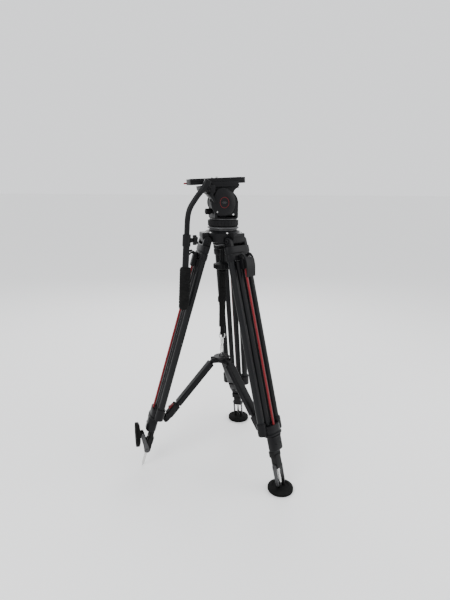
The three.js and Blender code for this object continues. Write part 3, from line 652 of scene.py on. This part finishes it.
def add_leg(index):
    leg = f"leg{index + 1}"
    azimuth = LEG_AZIMUTHS[index]
    place = leg_place(azimuth)
    on_spike = index == 1
    slid = place @ Matrix.Translation((0, 0, -SPIKE_LEG_EXTENSION if on_spike else 0))
    fork_place = slid @ turn_y(FOOT_FORWARD, -FOOT_PIVOT, -FOLDED_FORK_TURN if on_spike else 0)
    pivot = fork_place @ Vector((FOOT_FORWARD, 0, -(FOOT_PIVOT + FORK_REACH)))
    pad_place = Matrix.Translation(pivot) @ spin(azimuth)
    if on_spike:
        pad_place = pad_place @ Matrix.Rotation(-math.pi / 2, 4, "Y")
    piece(f"{leg}_yoke_casting", leg, CASTING, [f"{leg}_yoke"], yoke_shapes(), place, 0.4)
    for letter, side in (("a", -1), ("b", 1)):
        tube = carbon_tube(side * OUTER_TUBE_OFFSET, -676, -32, OUTER_TUBE_RADIUS, 0, 10)
        piece(f"{leg}_carbon_tube_{letter}", leg, CARBON, [f"{leg}_outer_tube_{letter}"], [tube], place)
    piece(f"{leg}_clamp_casting", leg, CASTING, [f"{leg}_lower_clamp"], lower_clamp_shapes(), place, 0.3)
    piece(f"{leg}_lever_casting", f"{leg}_lever", CASTING, [f"{leg}_lock_lever"], lever_shapes(), place, 0.9)
    red = rod_z(RED_ROD_RADIUS, RED_ROD_FORWARD, 0, -680, -80, edge=0.3, segments=32)
    piece(f"{leg}_red_guide", leg, RED, [f"{leg}_red_rod"], [red], place)
    tubes, fittings = middle_stage_shapes()
    piece(f"{leg}_middle_tubes", f"{leg}_middle", CARBON, [f"{leg}_middle_stage"], tubes, place)
    piece(f"{leg}_middle_castings", f"{leg}_middle", CASTING, [], fittings, place, 0.3)
    casting, steel = lower_stage_shapes()
    piece(f"{leg}_lower_rods", f"{leg}_lower", DARK_ROD, [f"{leg}_lower_stage"], casting, slid, 0.3)
    piece(f"{leg}_spike", f"{leg}_lower", STEEL, [], steel, slid)
    piece(f"{leg}_fork_plates", f"{leg}_fork", ALLOY, [f"{leg}_foot_fork"], fork_shapes(), fork_place)
    piece(f"{leg}_rubber_pad", f"{leg}_pad", RUBBER, [f"{leg}_foot_pad"], pad_shapes(), pad_place)


pad_pivot_z = HIP_HEIGHT - (FOOT_PIVOT + FORK_REACH) * COSINE + FOOT_FORWARD * SINE
spike_tip_z = HIP_HEIGHT - SPIKE_TIP * COSINE + FOOT_FORWARD * SINE
SPIKE_LEG_EXTENSION = (spike_tip_z - (pad_pivot_z - PAD_PIVOT_HEIGHT)) / COSINE
for leg_index in range(3):
    add_leg(leg_index)


# Spreader -------------------------------------------------------------------

lug_radius = HIP_RADIUS + ARM_LUG_DOWN * SINE + ARM_LUG_FORWARD * COSINE
lug_height = HIP_HEIGHT - ARM_LUG_DOWN * COSINE + ARM_LUG_FORWARD * SINE
ARM_LENGTH = math.hypot(lug_radius - ARM_PIVOT_RADIUS, HUB_HEIGHT - lug_height)
ARM_SLOPE = math.atan2(HUB_HEIGHT - lug_height, lug_radius - ARM_PIVOT_RADIUS)


def arm_place(azimuth):
    pivot = Matrix.Translation((ARM_PIVOT_RADIUS, 0, HUB_HEIGHT))
    return spin(azimuth) @ pivot @ Matrix.Rotation(ARM_SLOPE, 4, "Y")


def hub_shapes():
    shapes = [
        rod_z(22, 0, 0, HUB_HEIGHT - 9, HUB_HEIGHT + 8, edge=1),
        lathe([(0, 421), (29.4, 421), (31, 422.6), (30.4, 425.4), (28, 426.5), (0, 426.5)], segments=64),
    ]
    for azimuth in LEG_AZIMUTHS:
        clevis = slab_z(rounded(8, 41, -12, 12, 3), HUB_HEIGHT - 10, HUB_HEIGHT + 10, 0.8)
        slot = block(23, 50, -7.2, 7.2, HUB_HEIGHT - 20, HUB_HEIGHT + 20)
        shapes.append(moved(cut(clevis, slot), spin(azimuth)))
        for side in (-1, 1):
            bolt = screw_head(4, (ARM_PIVOT_RADIUS, side * 11.8, HUB_HEIGHT), (0, side, 0), 1.6)
            shapes.append(moved(bolt, spin(azimuth)))
    return shapes


def add_spreader():
    piece("hub_casting", "spreader", CASTING, ["spreader_hub"], hub_shapes(), bevel=0.3)
    ring = [(8 * math.cos(a), 0, 431 + 8 * math.sin(a)) for a in [math.tau * i / 16 for i in range(16)]]
    piece("hub_ring", "spreader", ALLOY, [], [sweep(ring, 2.1, closed=True)])
    for index, azimuth in enumerate(LEG_AZIMUTHS):
        n = index + 1
        place = arm_place(azimuth)
        sleeve = slab_x([(y, z) for z, y in rounded(-11, 11, -17, 17, 5)], 14, 216, 2.4)
        room = block(40, 230, -12.4, 12.4, -6.9, 6.9)
        tongue = slab_y(arc(0, 0, 7, 90, 270, 14) + [(16, -7), (16, 7)], -6.8, 6.8, 0.6)
        grooves = [block(30, 200, s * 17 - 0.6, s * 17 + 0.6, -3, 3) for s in (-1, 1)]
        shapes = [cut(sleeve, room, *grooves), tongue]
        piece(f"arm{n}_sleeve", f"arm{n}", CASTING, [f"spreader_sleeve_{n}"], shapes, place, 0.4)
        bar = block(60, 226, -12, 12, -6.5, 6.5, 0.6)
        end = slab_x([(y, -z) for z, y in rounded(-15, 13, -15, 15, 4)], 222, 272, 1.4)
        end = cut(end, block(219, 250, -8.4, 8.4, 9, 20))
        cheek = [(262, -11), (ARM_LENGTH, -9)] + arc(ARM_LENGTH, 0, 9, -60, 60, 10)
        cheek += [(ARM_LENGTH, 9), (262, 12)]
        shapes = [bar, end, slab_y(cheek, -13, -6.8, 0.6), slab_y(cheek, 6.8, 13, 0.6)]
        for side in (-1, 1):
            shapes.append(screw_head(5, (ARM_LENGTH, side * 12.6, 0), (0, side, 0), 2.8))
        piece(f"arm{n}_bar", f"arm{n}_bar", CASTING, [f"spreader_bar_{n}"], shapes, place, 0.3)
        latch = [(228, 9.6), (244, 9.6), (248, 13), (252, 19), (248, 22.5), (240, 19), (228, 17)]
        shapes = [slab_y(latch, -8, 8, 1)]
        piece(f"arm{n}_latch", f"arm{n}_latch", RED, [f"spreader_latch_{n}"], shapes, place)


add_spreader()


# Bowl, ball and tie-down ----------------------------------------------------


def sphere_points(radius, low, high, steps=10):
    points = []
    for i in range(steps + 1):
        z = low + (high - low) * i / steps
        points.append((math.sqrt(radius * radius - (z - BALL_CENTRE) ** 2), z))
    return points


def bowl_shapes():
    turn = spin(LEG_AZIMUTHS[0] + 45)
    outline = [(64, BOWL_BOTTOM), (68, BOWL_TOP + 3), (57.6, BOWL_RIM - 0.5), (56.6, BOWL_RIM)]
    outline += [(0, BOWL_RIM), (0, BOWL_BOTTOM)]
    shell = lathe(outline, turn, 12)
    seat = lathe([(0, 850), (31.4, 850)] + sphere_points(51, 875, BOWL_RIM + 1, 10) + [(0, BOWL_RIM + 1)])
    rooms = []
    for azimuth in LEG_AZIMUTHS:
        for y0, y1 in ((27.5, 47), (-47, -27.5)):
            rooms.append(moved(rod_y(15.8, HIP_RADIUS, HIP_HEIGHT, y0, y1, edge=0.1), spin(azimuth)))
    shapes = [cut(shell, seat, *rooms)]
    shapes.append(lathe([(31.4, 857)] + sphere_points(66, 857, 869, 8) + [(31.4, 869)]))
    screws = []
    for azimuth in LEG_AZIMUTHS:
        lug = [(52, BOWL_BOTTOM)] + arc(HIP_RADIUS, HIP_HEIGHT, 14.4, 200, 350, 20)
        lug += [(79, 878), (81, 883), (81, 896), (78, 899), (52, 899)]
        pin_room = rod_y(5.3, HIP_RADIUS, HIP_HEIGHT, -30, 30)
        shapes.append(moved(cut(slab_y(lug, -27.5, 27.5, 1.4), pin_room), spin(azimuth)))
        for side in (-31, 31):
            angle = math.radians(azimuth + side)
            place = (62 * math.cos(angle), 62 * math.sin(angle), BOWL_TOP + 3)
            screws.append(screw_head(3.5, place, (0, 0, 1), 4))
    return shapes, screws


def knob_shapes():
    body = lathe(
        [
            (0, KNOB_BOTTOM), (9, KNOB_BOTTOM), (12, KNOB_BOTTOM + 1),
            (30, KNOB_BOTTOM + 4.4), (33.4, KNOB_BOTTOM + 6.4),
            (34.5, KNOB_BOTTOM + 9), (34.5, KNOB_TOP - 6), (33.6, KNOB_TOP - 3.6), (31, KNOB_TOP - 2.6),
            (10.5, KNOB_TOP + 2), (10.5, 835), (23, 839), (23, 842.5), (6.4, 842.5), (6.4, 790), (0, 790),
        ],
        segments=84,
    )
    flutes = []
    for i in range(7):
        angle = math.tau * i / 7
        flutes.append(rod_z(6, 38 * math.cos(angle), 38 * math.sin(angle), KNOB_BOTTOM - 1, KNOB_TOP + 1))
    return [cut(body, *flutes)]


def add_bowl():
    shapes, screws = bowl_shapes()
    piece("bowl_casting", "bowl", CASTING, ["bowl"], shapes, bevel=0.5)
    piece("bowl_screws", "bowl", STEEL, [], screws)
    ball = [(0, 792), (5.4, 792), (6, 793), (6, 872)] + sphere_points(BALL_RADIUS, 873, 911.6, 14)
    ball += [(54.6, 912.7), (56, 914), (56.2, 915.4), (55.4, 917), (51.4, 920), (50, 921)]
    ball += [(18, 921), (18, 941), (0, 941)]
    piece("ball_turned", "ball", ALLOY, ["ball_base"], [lathe(ball, segments=84)])
    cup = sphere_points(70.2, 846.9, 855, 6) + sphere_points(66.9, 859, 850.4, 6)
    piece("cup_turned", "clamp_cup", ALLOY, ["clamp_cup"], [lathe(cup, segments=72)])
    piece("knob_moulding", "tie_down_knob", PLASTIC, ["tie_down_knob"], knob_shapes(), bevel=1.0)


def webbing_band(half_width, y0, y1, z0, z1):
    """A flat length of webbing with soft selvedge edges."""
    middle, half = (y0 + y1) / 2, abs(y1 - y0) / 2
    outline = []
    for sign, start in ((1, -90), (-1, 90)):
        for i in range(7):
            angle = math.radians(start + 180 * i / 6)
            x = sign * (half_width - half) + half * math.cos(angle)
            outline.append((x, middle + half * math.sin(angle)))
    rows = []
    bm = bmesh.new()
    uv = bm.loops.layers.uv.new("weave")
    count = max(2, round((z1 - z0) / 4))
    for k in range(count + 1):
        z = z0 + (z1 - z0) * k / count
        rows.append([bm.verts.new((x, y, z)) for x, y in outline])
    for k in range(count):
        for i in range(len(outline)):
            j = (i + 1) % len(outline)
            bm.faces.new([rows[k][i], rows[k][j], rows[k + 1][j], rows[k + 1][i]])
    bm.faces.new(rows[0])
    bm.faces.new(rows[-1])
    for face in bm.faces:
        for loop in face.loops:
            loop[uv].uv = (loop.vert.co.x / 1000, loop.vert.co.z / 1000)
    return new_object(bm)


def stitches(half_width, y, z_values):
    """Short raised bars of thread across the webbing."""
    return [rod_x(0.45, y, z, -half_width, half_width, segments=8, edge=0.2) for z in z_values]


def add_strap():
    t = STRAP_THICKNESS
    loop = rod_x(5, 2, 755, -12.5, 12.5, bore=2.4, edge=0.8, segments=32)
    upper = [webbing_band(12.5, 0.4, 0.4 + t, 652, 752), loop]
    upper += stitches(11, 0.4 + t, (738, 741, 744))
    piece("strap_upper_webbing", "bowl", WEBBING, ["strap_upper"], upper)
    slider = slab_z(rounded(-16, 16, 0.4, 6, 2.2), 640, 662, 1.2)
    teeth = [rod_x(0.9, 6, z, -13, 13, segments=10) for z in (645, 651, 657)]
    piece("strap_slider", "bowl", PLASTIC, [], [slider, *teeth])
    lower_loop = rod_x(5.4, -1.6, 517, -8, 8, bore=3.1, edge=0.8, segments=32)
    lower = [webbing_band(12.5, -0.4 - t, -0.4, 545, 690), webbing_band(8, -0.4 - t, -0.4, 521, 546)]
    lower.append(lower_loop)
    lower += stitches(7, -0.4 - t, (527, 530, 533))
    piece("strap_lower_webbing", "spreader", WEBBING, ["strap_lower"], lower)
    ring = [(x, -1.6, z) for x, z in arc(0, 508, 10.8, 180, 360, 10)]
    ring += [(10.8, -1.6, 517), (-10.8, -1.6, 517)]
    link = [(0, -1.6, 480), (0, 6, 472), (0, 10, 458), (0, 9, 442)]
    link += [(0, 0, 431.5), (0, -9, 442), (0, -12, 458), (0, -8, 472)]
    profile = [(0, 476), (4.4, 476), (6, 479), (6, 486), (5.2, 487), (6, 488), (6, 494), (4, 498), (0, 499)]
    swivel = lathe(profile, Matrix.Translation((0, -1.6, 0)))
    gate = rod(3.1, (0, 9.6, 447), (0, 7.4, 468))
    shapes = [sweep(ring, 1.7, closed=True), sweep(link, 2.2, closed=True), swivel, gate]
    piece("hook_steel", "spreader", STEEL, ["snap_hook"], shapes)


add_bowl()
add_strap()


# Head -----------------------------------------------------------------------

TIPPED = turn_y(TILT_X, TILT_Z, -REST_TILT)


def pan_ring_shapes():
    ring = lathe([(44, 922), (53.6, 922), (54.5, 923), (54.5, 941), (53.6, 942), (44, 942)], segments=112)
    grooves = []
    for i in range(28):
        angle = math.tau * i / 28
        grooves.append(rod_z(1.8, 55.3 * math.cos(angle), 55.3 * math.sin(angle), 921, 939.5, segments=12))
    return [cut(ring, *grooves)]


def fork_body_shapes():
    turntable = rod_z(43.4, 0, 0, 921.4, 945, edge=0.4, bore=18.7)
    base = slab_z(rounded(-43, 43, -37, 37, 9), 947, 959.5, 1.2)
    cheek = [(-43, 950), (43, 950)] + arc(0, 1000, 43, 0, 180, 32, 44)
    shapes = [turntable, base, slab_y(cheek, -37, -27, 1.6), slab_y(cheek, 27, 37, 1.6)]
    profile = [(0, 36), (38.6, 36), (39.5, 37.4), (39.2, 40), (36, 44.6), (28, 47.2), (12, 48.4), (0, 48.5)]
    cover = lathe(profile, segments=72)
    back_turn = Matrix.Translation((TILT_X, 0, TILT_Z)) @ Matrix.Rotation(-math.pi / 2, 4, "X")
    shapes.append(moved(cover, back_turn))
    screws = []
    for x, z in ((-35, 971), (24, 962)):
        screws.append(screw_head(3.6, (x, -36.8, z), (0, -1, 0), 2.2))
        screws.append(screw_head(3.6, (x, 36.8, z), (0, 1, 0), 2.2))
    shapes.append(rod_y(10, TILT_X, TILT_Z, -28, -20))
    shapes.append(rod_y(10, TILT_X, TILT_Z, 20, 28))
    wall = cut(block(-42.6, -38.6, -28, 28, 955, 977, 0.6), rod_x(4.3, 0, 971, -50, -30))
    shapes.append(wall)
    return shapes, screws


def side_cap_shapes():
    profile = [
        (0, 37.3), (48.8, 37.3), (49.5, 38.2), (49.2, 39.6), (47.6, 42.2), (44, 44.6), (39, 46.4), (32, 48.1),
        (25, 49.2), (20, 49.6), (19, 49.2), (18, 49.2), (0, 49.2),
    ]
    upright = Matrix.Translation((-13, 0, 1003)) @ Matrix.Rotation(math.pi / 2, 4, "X")
    place = upright @ Matrix.Diagonal((0.9, 1, 1, 1))
    screw_rooms = [rod_y(4.4, x, z, -52, -36) for x, z in ((-35, 971), (24, 962))]
    cap = cut(moved(lathe(profile, segments=112), place), *screw_rooms)
    mark = lathe([(17.2, 49.0), (18.2, 49.0), (18.2, 49.9), (17.2, 49.9)], place, 72)
    bars = []
    for z, half in ((2.6, 6), (0, 9), (-2.6, 6)):
        bars.append(block(-13 - half, -13 + half, -49.7, -49.0, 1003 + z - 0.6, 1003 + z + 0.6, 0.2))
    return [cap], [mark], bars


def tilt_body_shapes():
    drum = rod_y(39.5, TILT_X, TILT_Z, -26.6, 26.6, edge=1, segments=72)
    drum = cut(drum, rod_y(10.4, TILT_X, TILT_Z, -30, 30))
    neck = [(-50, 1057), (-44, 1036), (-40, 1024), (28, 1022)] + arc(52, 1028, 22, 170, 92, 10) + [(49, 1057)]
    shapes = [drum, moved(slab_y(neck, -26.6, 26.6, 1), TIPPED)]
    shapes.append(moved(slab_z(rounded(-54, 51, -34, 34, 4), 1055, PLATE_BOTTOM - 0.8, 1.6), TIPPED))
    shapes.append(moved(block(-50, 47, -34, -27.2, 1062, 1073, 0.8), TIPPED))
    shapes.append(moved(block(-50, 47, 27.2, 34, 1062, 1073, 0.8), TIPPED))
    web = slab_y([(-52, 1064), (-88, 1060.5), (-86, 1046), (-60, 1036), (-46, 1048)], -30, 30, 1)
    shapes.append(moved(web, TIPPED))
    outline = [(-50, 1061), (-87, 1058.5), (-90, 1048), (-84, 1036), (-72, 1028)]
    outline += [(-60, 1014), (-54, 1001), (-47, 1001), (-47, 1056)]
    cap_room = rod_y(53, TILT_X, TILT_Z, -60, -26.8, segments=96)
    bracket = cut(slab_y(outline, -51.6, -22, 1.2), cap_room)
    bracket = cut(bracket, rod_y(4.4, -74, 1048, -60, -30), rod_y(3.4, -64, 1030, -60, -40))
    shapes.append(bracket)
    return shapes


def camera_plate_shapes():
    outline = [(-123, -26.6)] + arc(68, -16.6, 10, -90, 0, 8) + arc(68, 16.6, 10, 0, 90, 8) + [(-123, 26.6)]
    plate = slab_z(outline, PLATE_BOTTOM, PLATE_TOP, 1.2)
    tools = [
        block(-118, -28, -4.6, 4.6, 1080, 1095), block(2, 60, -4.6, 4.6, 1080, 1095),
        rod_z(5.4, -20, 0, 1060, 1095), rod_z(11.2, -20, 0, 1060, 1075),
        block(-130, 90, -28, -25.4, 1075.5, 1078), block(-130, 90, 25.4, 28, 1075.5, 1078),
    ]
    plate = cut(plate, *tools)
    ribs = []
    for x in range(-112, 62, 9):
        for y0, y1 in ((-23, -8), (8, 23)):
            ribs.append(block(x, x + 4.5, y0, y1, PLATE_TOP - 0.5, PLATE_TOP + 0.7, 0.3))
    return [plate, rod_z(2.2, -38, 0, 1070, PLATE_TOP + 3)], ribs


def add_head():
    piece("pan_ring_moulding", "pan_ring", PLASTIC, ["pan_ring"], pan_ring_shapes(), bevel=0.4)
    shapes, screws = fork_body_shapes()
    piece("fork_casting", "pan_fork", CASTING, ["fork"], shapes, bevel=0.3)
    piece("fork_screws", "pan_fork", STEEL, [], screws)
    band = lathe([(42, 944), (48.4, 944), (49, 944.5), (49, 946.7), (48.4, 947.2), (42, 947.2)], segments=96)
    piece("fork_silver_band", "pan_fork", ALLOY, [], [band])
    cap, mark, bars = side_cap_shapes()
    piece("side_cap_dome", "pan_fork", CASTING, ["side_cap"], cap, bevel=0.3)
    piece("side_cap_ring", "pan_fork", RED, [], mark)
    piece("side_cap_bars", "pan_fork", ALLOY, [], bars)
    profile = [(0, -66), (8.6, -66), (10.4, -64.4), (10.4, -49), (9, -47), (0, -47)]
    ribbed = lathe(profile, axis_place((0, 0, 971), (1, 0, 0)), 60)
    flutes = []
    for i in range(12):
        angle = math.tau * i / 12
        flutes.append(rod_x(1.4, 11 * math.cos(angle), 971 + 11 * math.sin(angle), -67, -49.5, segments=12))
    knob = [cut(ribbed, *flutes), rod_x(7.4, 0, 971, -48, -43.6), rod_x(4, 0, 971, -46, -38)]
    piece("pan_knob_moulding", "pan_knob", PLASTIC, ["pan_knob"], knob, bevel=0.3)
    piece("tilt_casting", "tilt_body", CASTING, ["tilt_body"], tilt_body_shapes(), bevel=0.3)
    lever = arc(-64, 1030, 6.5, 30, 210, 16) + [(-53.5, 1005)] + arc(-50.5, 1006, 3.4, 200, 390, 12)
    shapes = [slab_y(lever, -57.5, -52.2, 0.9), rod_y(3, -64, 1030, -54, -42)]
    shapes.append(screw_head(4, (-64, -57.2, 1030), (0, -1, 0), 0.9))
    piece("tilt_lever_arm", "tilt_lever", CASTING, ["tilt_lever"], shapes)
    plate, ribs = camera_plate_shapes()
    piece("plate_machined", "camera_plate", CASTING, ["camera_plate"], plate, TIPPED, 0.3)
    piece("plate_rubber", "camera_plate", RUBBER, [], ribs, TIPPED)
    screw = [rod_z(10.6, -20, 0, 1069.2, 1074.4), rod_z(4.8, -20, 0, 1074, PLATE_TOP + 5, edge=0.8)]
    threads = []
    for i in range(6):
        turn = PLATE_TOP - 3 + 1.27 * i
        threads.append(rod_z(4.9, -20, 0, turn, turn + 0.6, edge=0.2))
    piece("plate_screw_steel", "plate_screw", STEEL, ["plate_screw"], screw + threads, TIPPED)
    handle = [(-46, 36), (-44, 48), (-60, 49.4), (-96, 50), (-122, 49.4)]
    handle += [(-127, 49), (-128.6, 45.4), (-128, 42), (-96, 41), (-60, 40)]
    lever = [rod_z(7, -44, 42, 1067, 1075, edge=1), slab_z(handle, 1068.5, 1074, 1.4)]
    lever.append(rod_y(2.4, -44, 1071, 34.3, 40))
    piece("plate_lever_red", "plate_lever", RED, ["plate_lever"], lever, TIPPED)


def along_bar(radius, bore, start, end, edge=0.6):
    return rod(radius, BAR_TOP + BAR_DIRECTION * start, BAR_TOP + BAR_DIRECTION * end, edge=edge, bore=bore)


def add_bar():
    s = BAR_SIDE
    path = [(-90, s, 1050), (-97, s, 1044), (-112, s, 1027), (-127, s, 1006), (-138, s, 989),
            (-144.6, s, 972),
            (-148.4, s, 950), (-149.8, s, 925), tuple(BAR_TOP), tuple(BAR_TOP + BAR_DIRECTION * 95),
            tuple(BAR_TOP + BAR_DIRECTION * 190)]
    clamp = moved(slab_z(rounded(-12, 12, -9, 9, 6), -20, 20, 1.6),
                  Matrix.Translation((-84, s, 1058)) @ Matrix.Rotation(math.radians(24), 4, "Y"))
    shapes = [sweep(path, 9.2, segments=40), clamp, rod_y(11.5, -74, 1048, -56, -52.2)]
    shapes += [rod_y(4, -74, 1048, -60, -36), screw_head(6.5, (-74, -71.5, 1048), (0, -1, 0), 5)]
    piece("bar_upper_tube", "pan_bar", CASTING, ["bar_upper"], shapes, bevel=0.3)
    centre = BAR_TOP + BAR_DIRECTION * 20.5
    boss = rod_x(8, s, centre.z, centre.x + 10, centre.x + 19)
    shapes = [along_bar(11.3, 9.6, 0, 240), along_bar(14, 9.6, 0, 41, 1.6), boss]
    piece("bar_lower_tube", "pan_bar_end", CASTING, ["bar_lower"], shapes)
    x = centre.x + 20
    star = []
    for i in range(60):
        angle = math.tau * i / 60
        r = 14.6 + 3.2 * math.cos(5 * angle)
        star.append((s + r * math.cos(angle), centre.z + r * math.sin(angle)))
    knob = [slab_x(star, x + 3, x + 16, 1.8), rod_x(7, s, centre.z, x, x + 4)]
    knob.append(rod_x(3, s, centre.z, x - 5, x + 3))
    piece("bar_knob_moulding", "bar_knob", PLASTIC, ["bar_knob"], knob)
    profile = [(11.6, -112), (15.6, -112.2), (17.4, -114), (18.2, -117)]
    for i in range(12):
        z = -121 - 10 * i
        radius = 19.2 - 0.13 * i
        profile += [(radius, z), (radius + 0.02, z - 6.4), (radius - 0.9, z - 7.4), (radius - 0.9, z - 8.4)]
    profile += [(17.6, -246), (17.2, -252), (15.6, -256.6), (12, -259), (0, -259.5), (0, -241), (11.6, -241)]
    lean = Matrix.Rotation(math.atan2(-BAR_DIRECTION.x, -BAR_DIRECTION.z), 4, "Y")
    grip = lathe(profile, Matrix.Translation(BAR_TOP) @ lean, 72)
    piece("bar_grip_rubber", "pan_bar_end", RUBBER, ["bar_grip"], [grip])


add_head()
add_bar()


# Stage, light and camera ----------------------------------------------------


def add_stage():
    bm = bmesh.new()
    bmesh.ops.create_grid(bm, x_segments=1, y_segments=1, size=60)
    floor = new_object(bm, "floor")
    floor.location = (0, 0, -0.0005)
    n = Nodes("pale_floor")
    n.set(Base_Color=(0.93, 0.93, 0.925, 1), Roughness=0.8)
    floor.data.materials.append(n.material)
    world = bpy.data.worlds.new("soft_room")
    world.use_nodes = True
    world.node_tree.nodes["Background"].inputs["Color"].default_value = (0.97, 0.98, 1.0, 1)
    world.node_tree.nodes["Background"].inputs["Strength"].default_value = 1.35
    bpy.context.scene.world = world


def add_light(name, place, aim, size, power):
    data = bpy.data.lights.new(name, "AREA")
    data.shape = "RECTANGLE"
    data.size, data.size_y = size
    data.energy = power
    light = bpy.data.objects.new(name, data)
    bpy.context.scene.collection.objects.link(light)
    light.location = place
    light.rotation_euler = (Vector(aim) - Vector(place)).to_track_quat("-Z", "Y").to_euler()


def add_camera():
    """A camera above the head's height that looks down a little, turned and rolled by fixed angles."""
    heading, pitch, roll = (math.radians(angle) for angle in CAMERA_ANGLES)
    place = HEAD @ Vector(CAMERA_PLACE)
    ahead = Vector((math.sin(heading), math.cos(heading), 0))
    level_right = Vector((math.cos(heading), -math.sin(heading), 0))
    up = Vector((0, 0, 1))
    forward = ahead * math.cos(pitch) - up * math.sin(pitch)
    level_up = ahead * math.sin(pitch) + up * math.cos(pitch)
    right = level_right * math.cos(roll) + level_up * math.sin(roll)
    camera_up = level_up * math.cos(roll) - level_right * math.sin(roll)
    data = bpy.data.cameras.new("camera")
    data.sensor_width = 36
    data.lens = CAMERA_LENS
    data.clip_start = 0.05
    camera = bpy.data.objects.new("camera", data)
    bpy.context.scene.collection.objects.link(camera)
    rotation = Matrix((right, camera_up, -forward)).transposed().to_4x4()
    camera.matrix_world = Matrix.Translation(place) @ rotation
    bpy.context.scene.camera = camera


add_stage()
add_light("key", (-2.2, -1.6, 2.6), (0, 0, 0.7), (1.8, 1.8), 60)
add_light("fill", (2.2, -1.2, 1.6), (0, 0, 0.6), (1.6, 2.0), 26)
add_light("rim", (0.6, 2.4, 2.2), (0, 0, 0.7), (2.4, 1.2), 40)
add_camera()
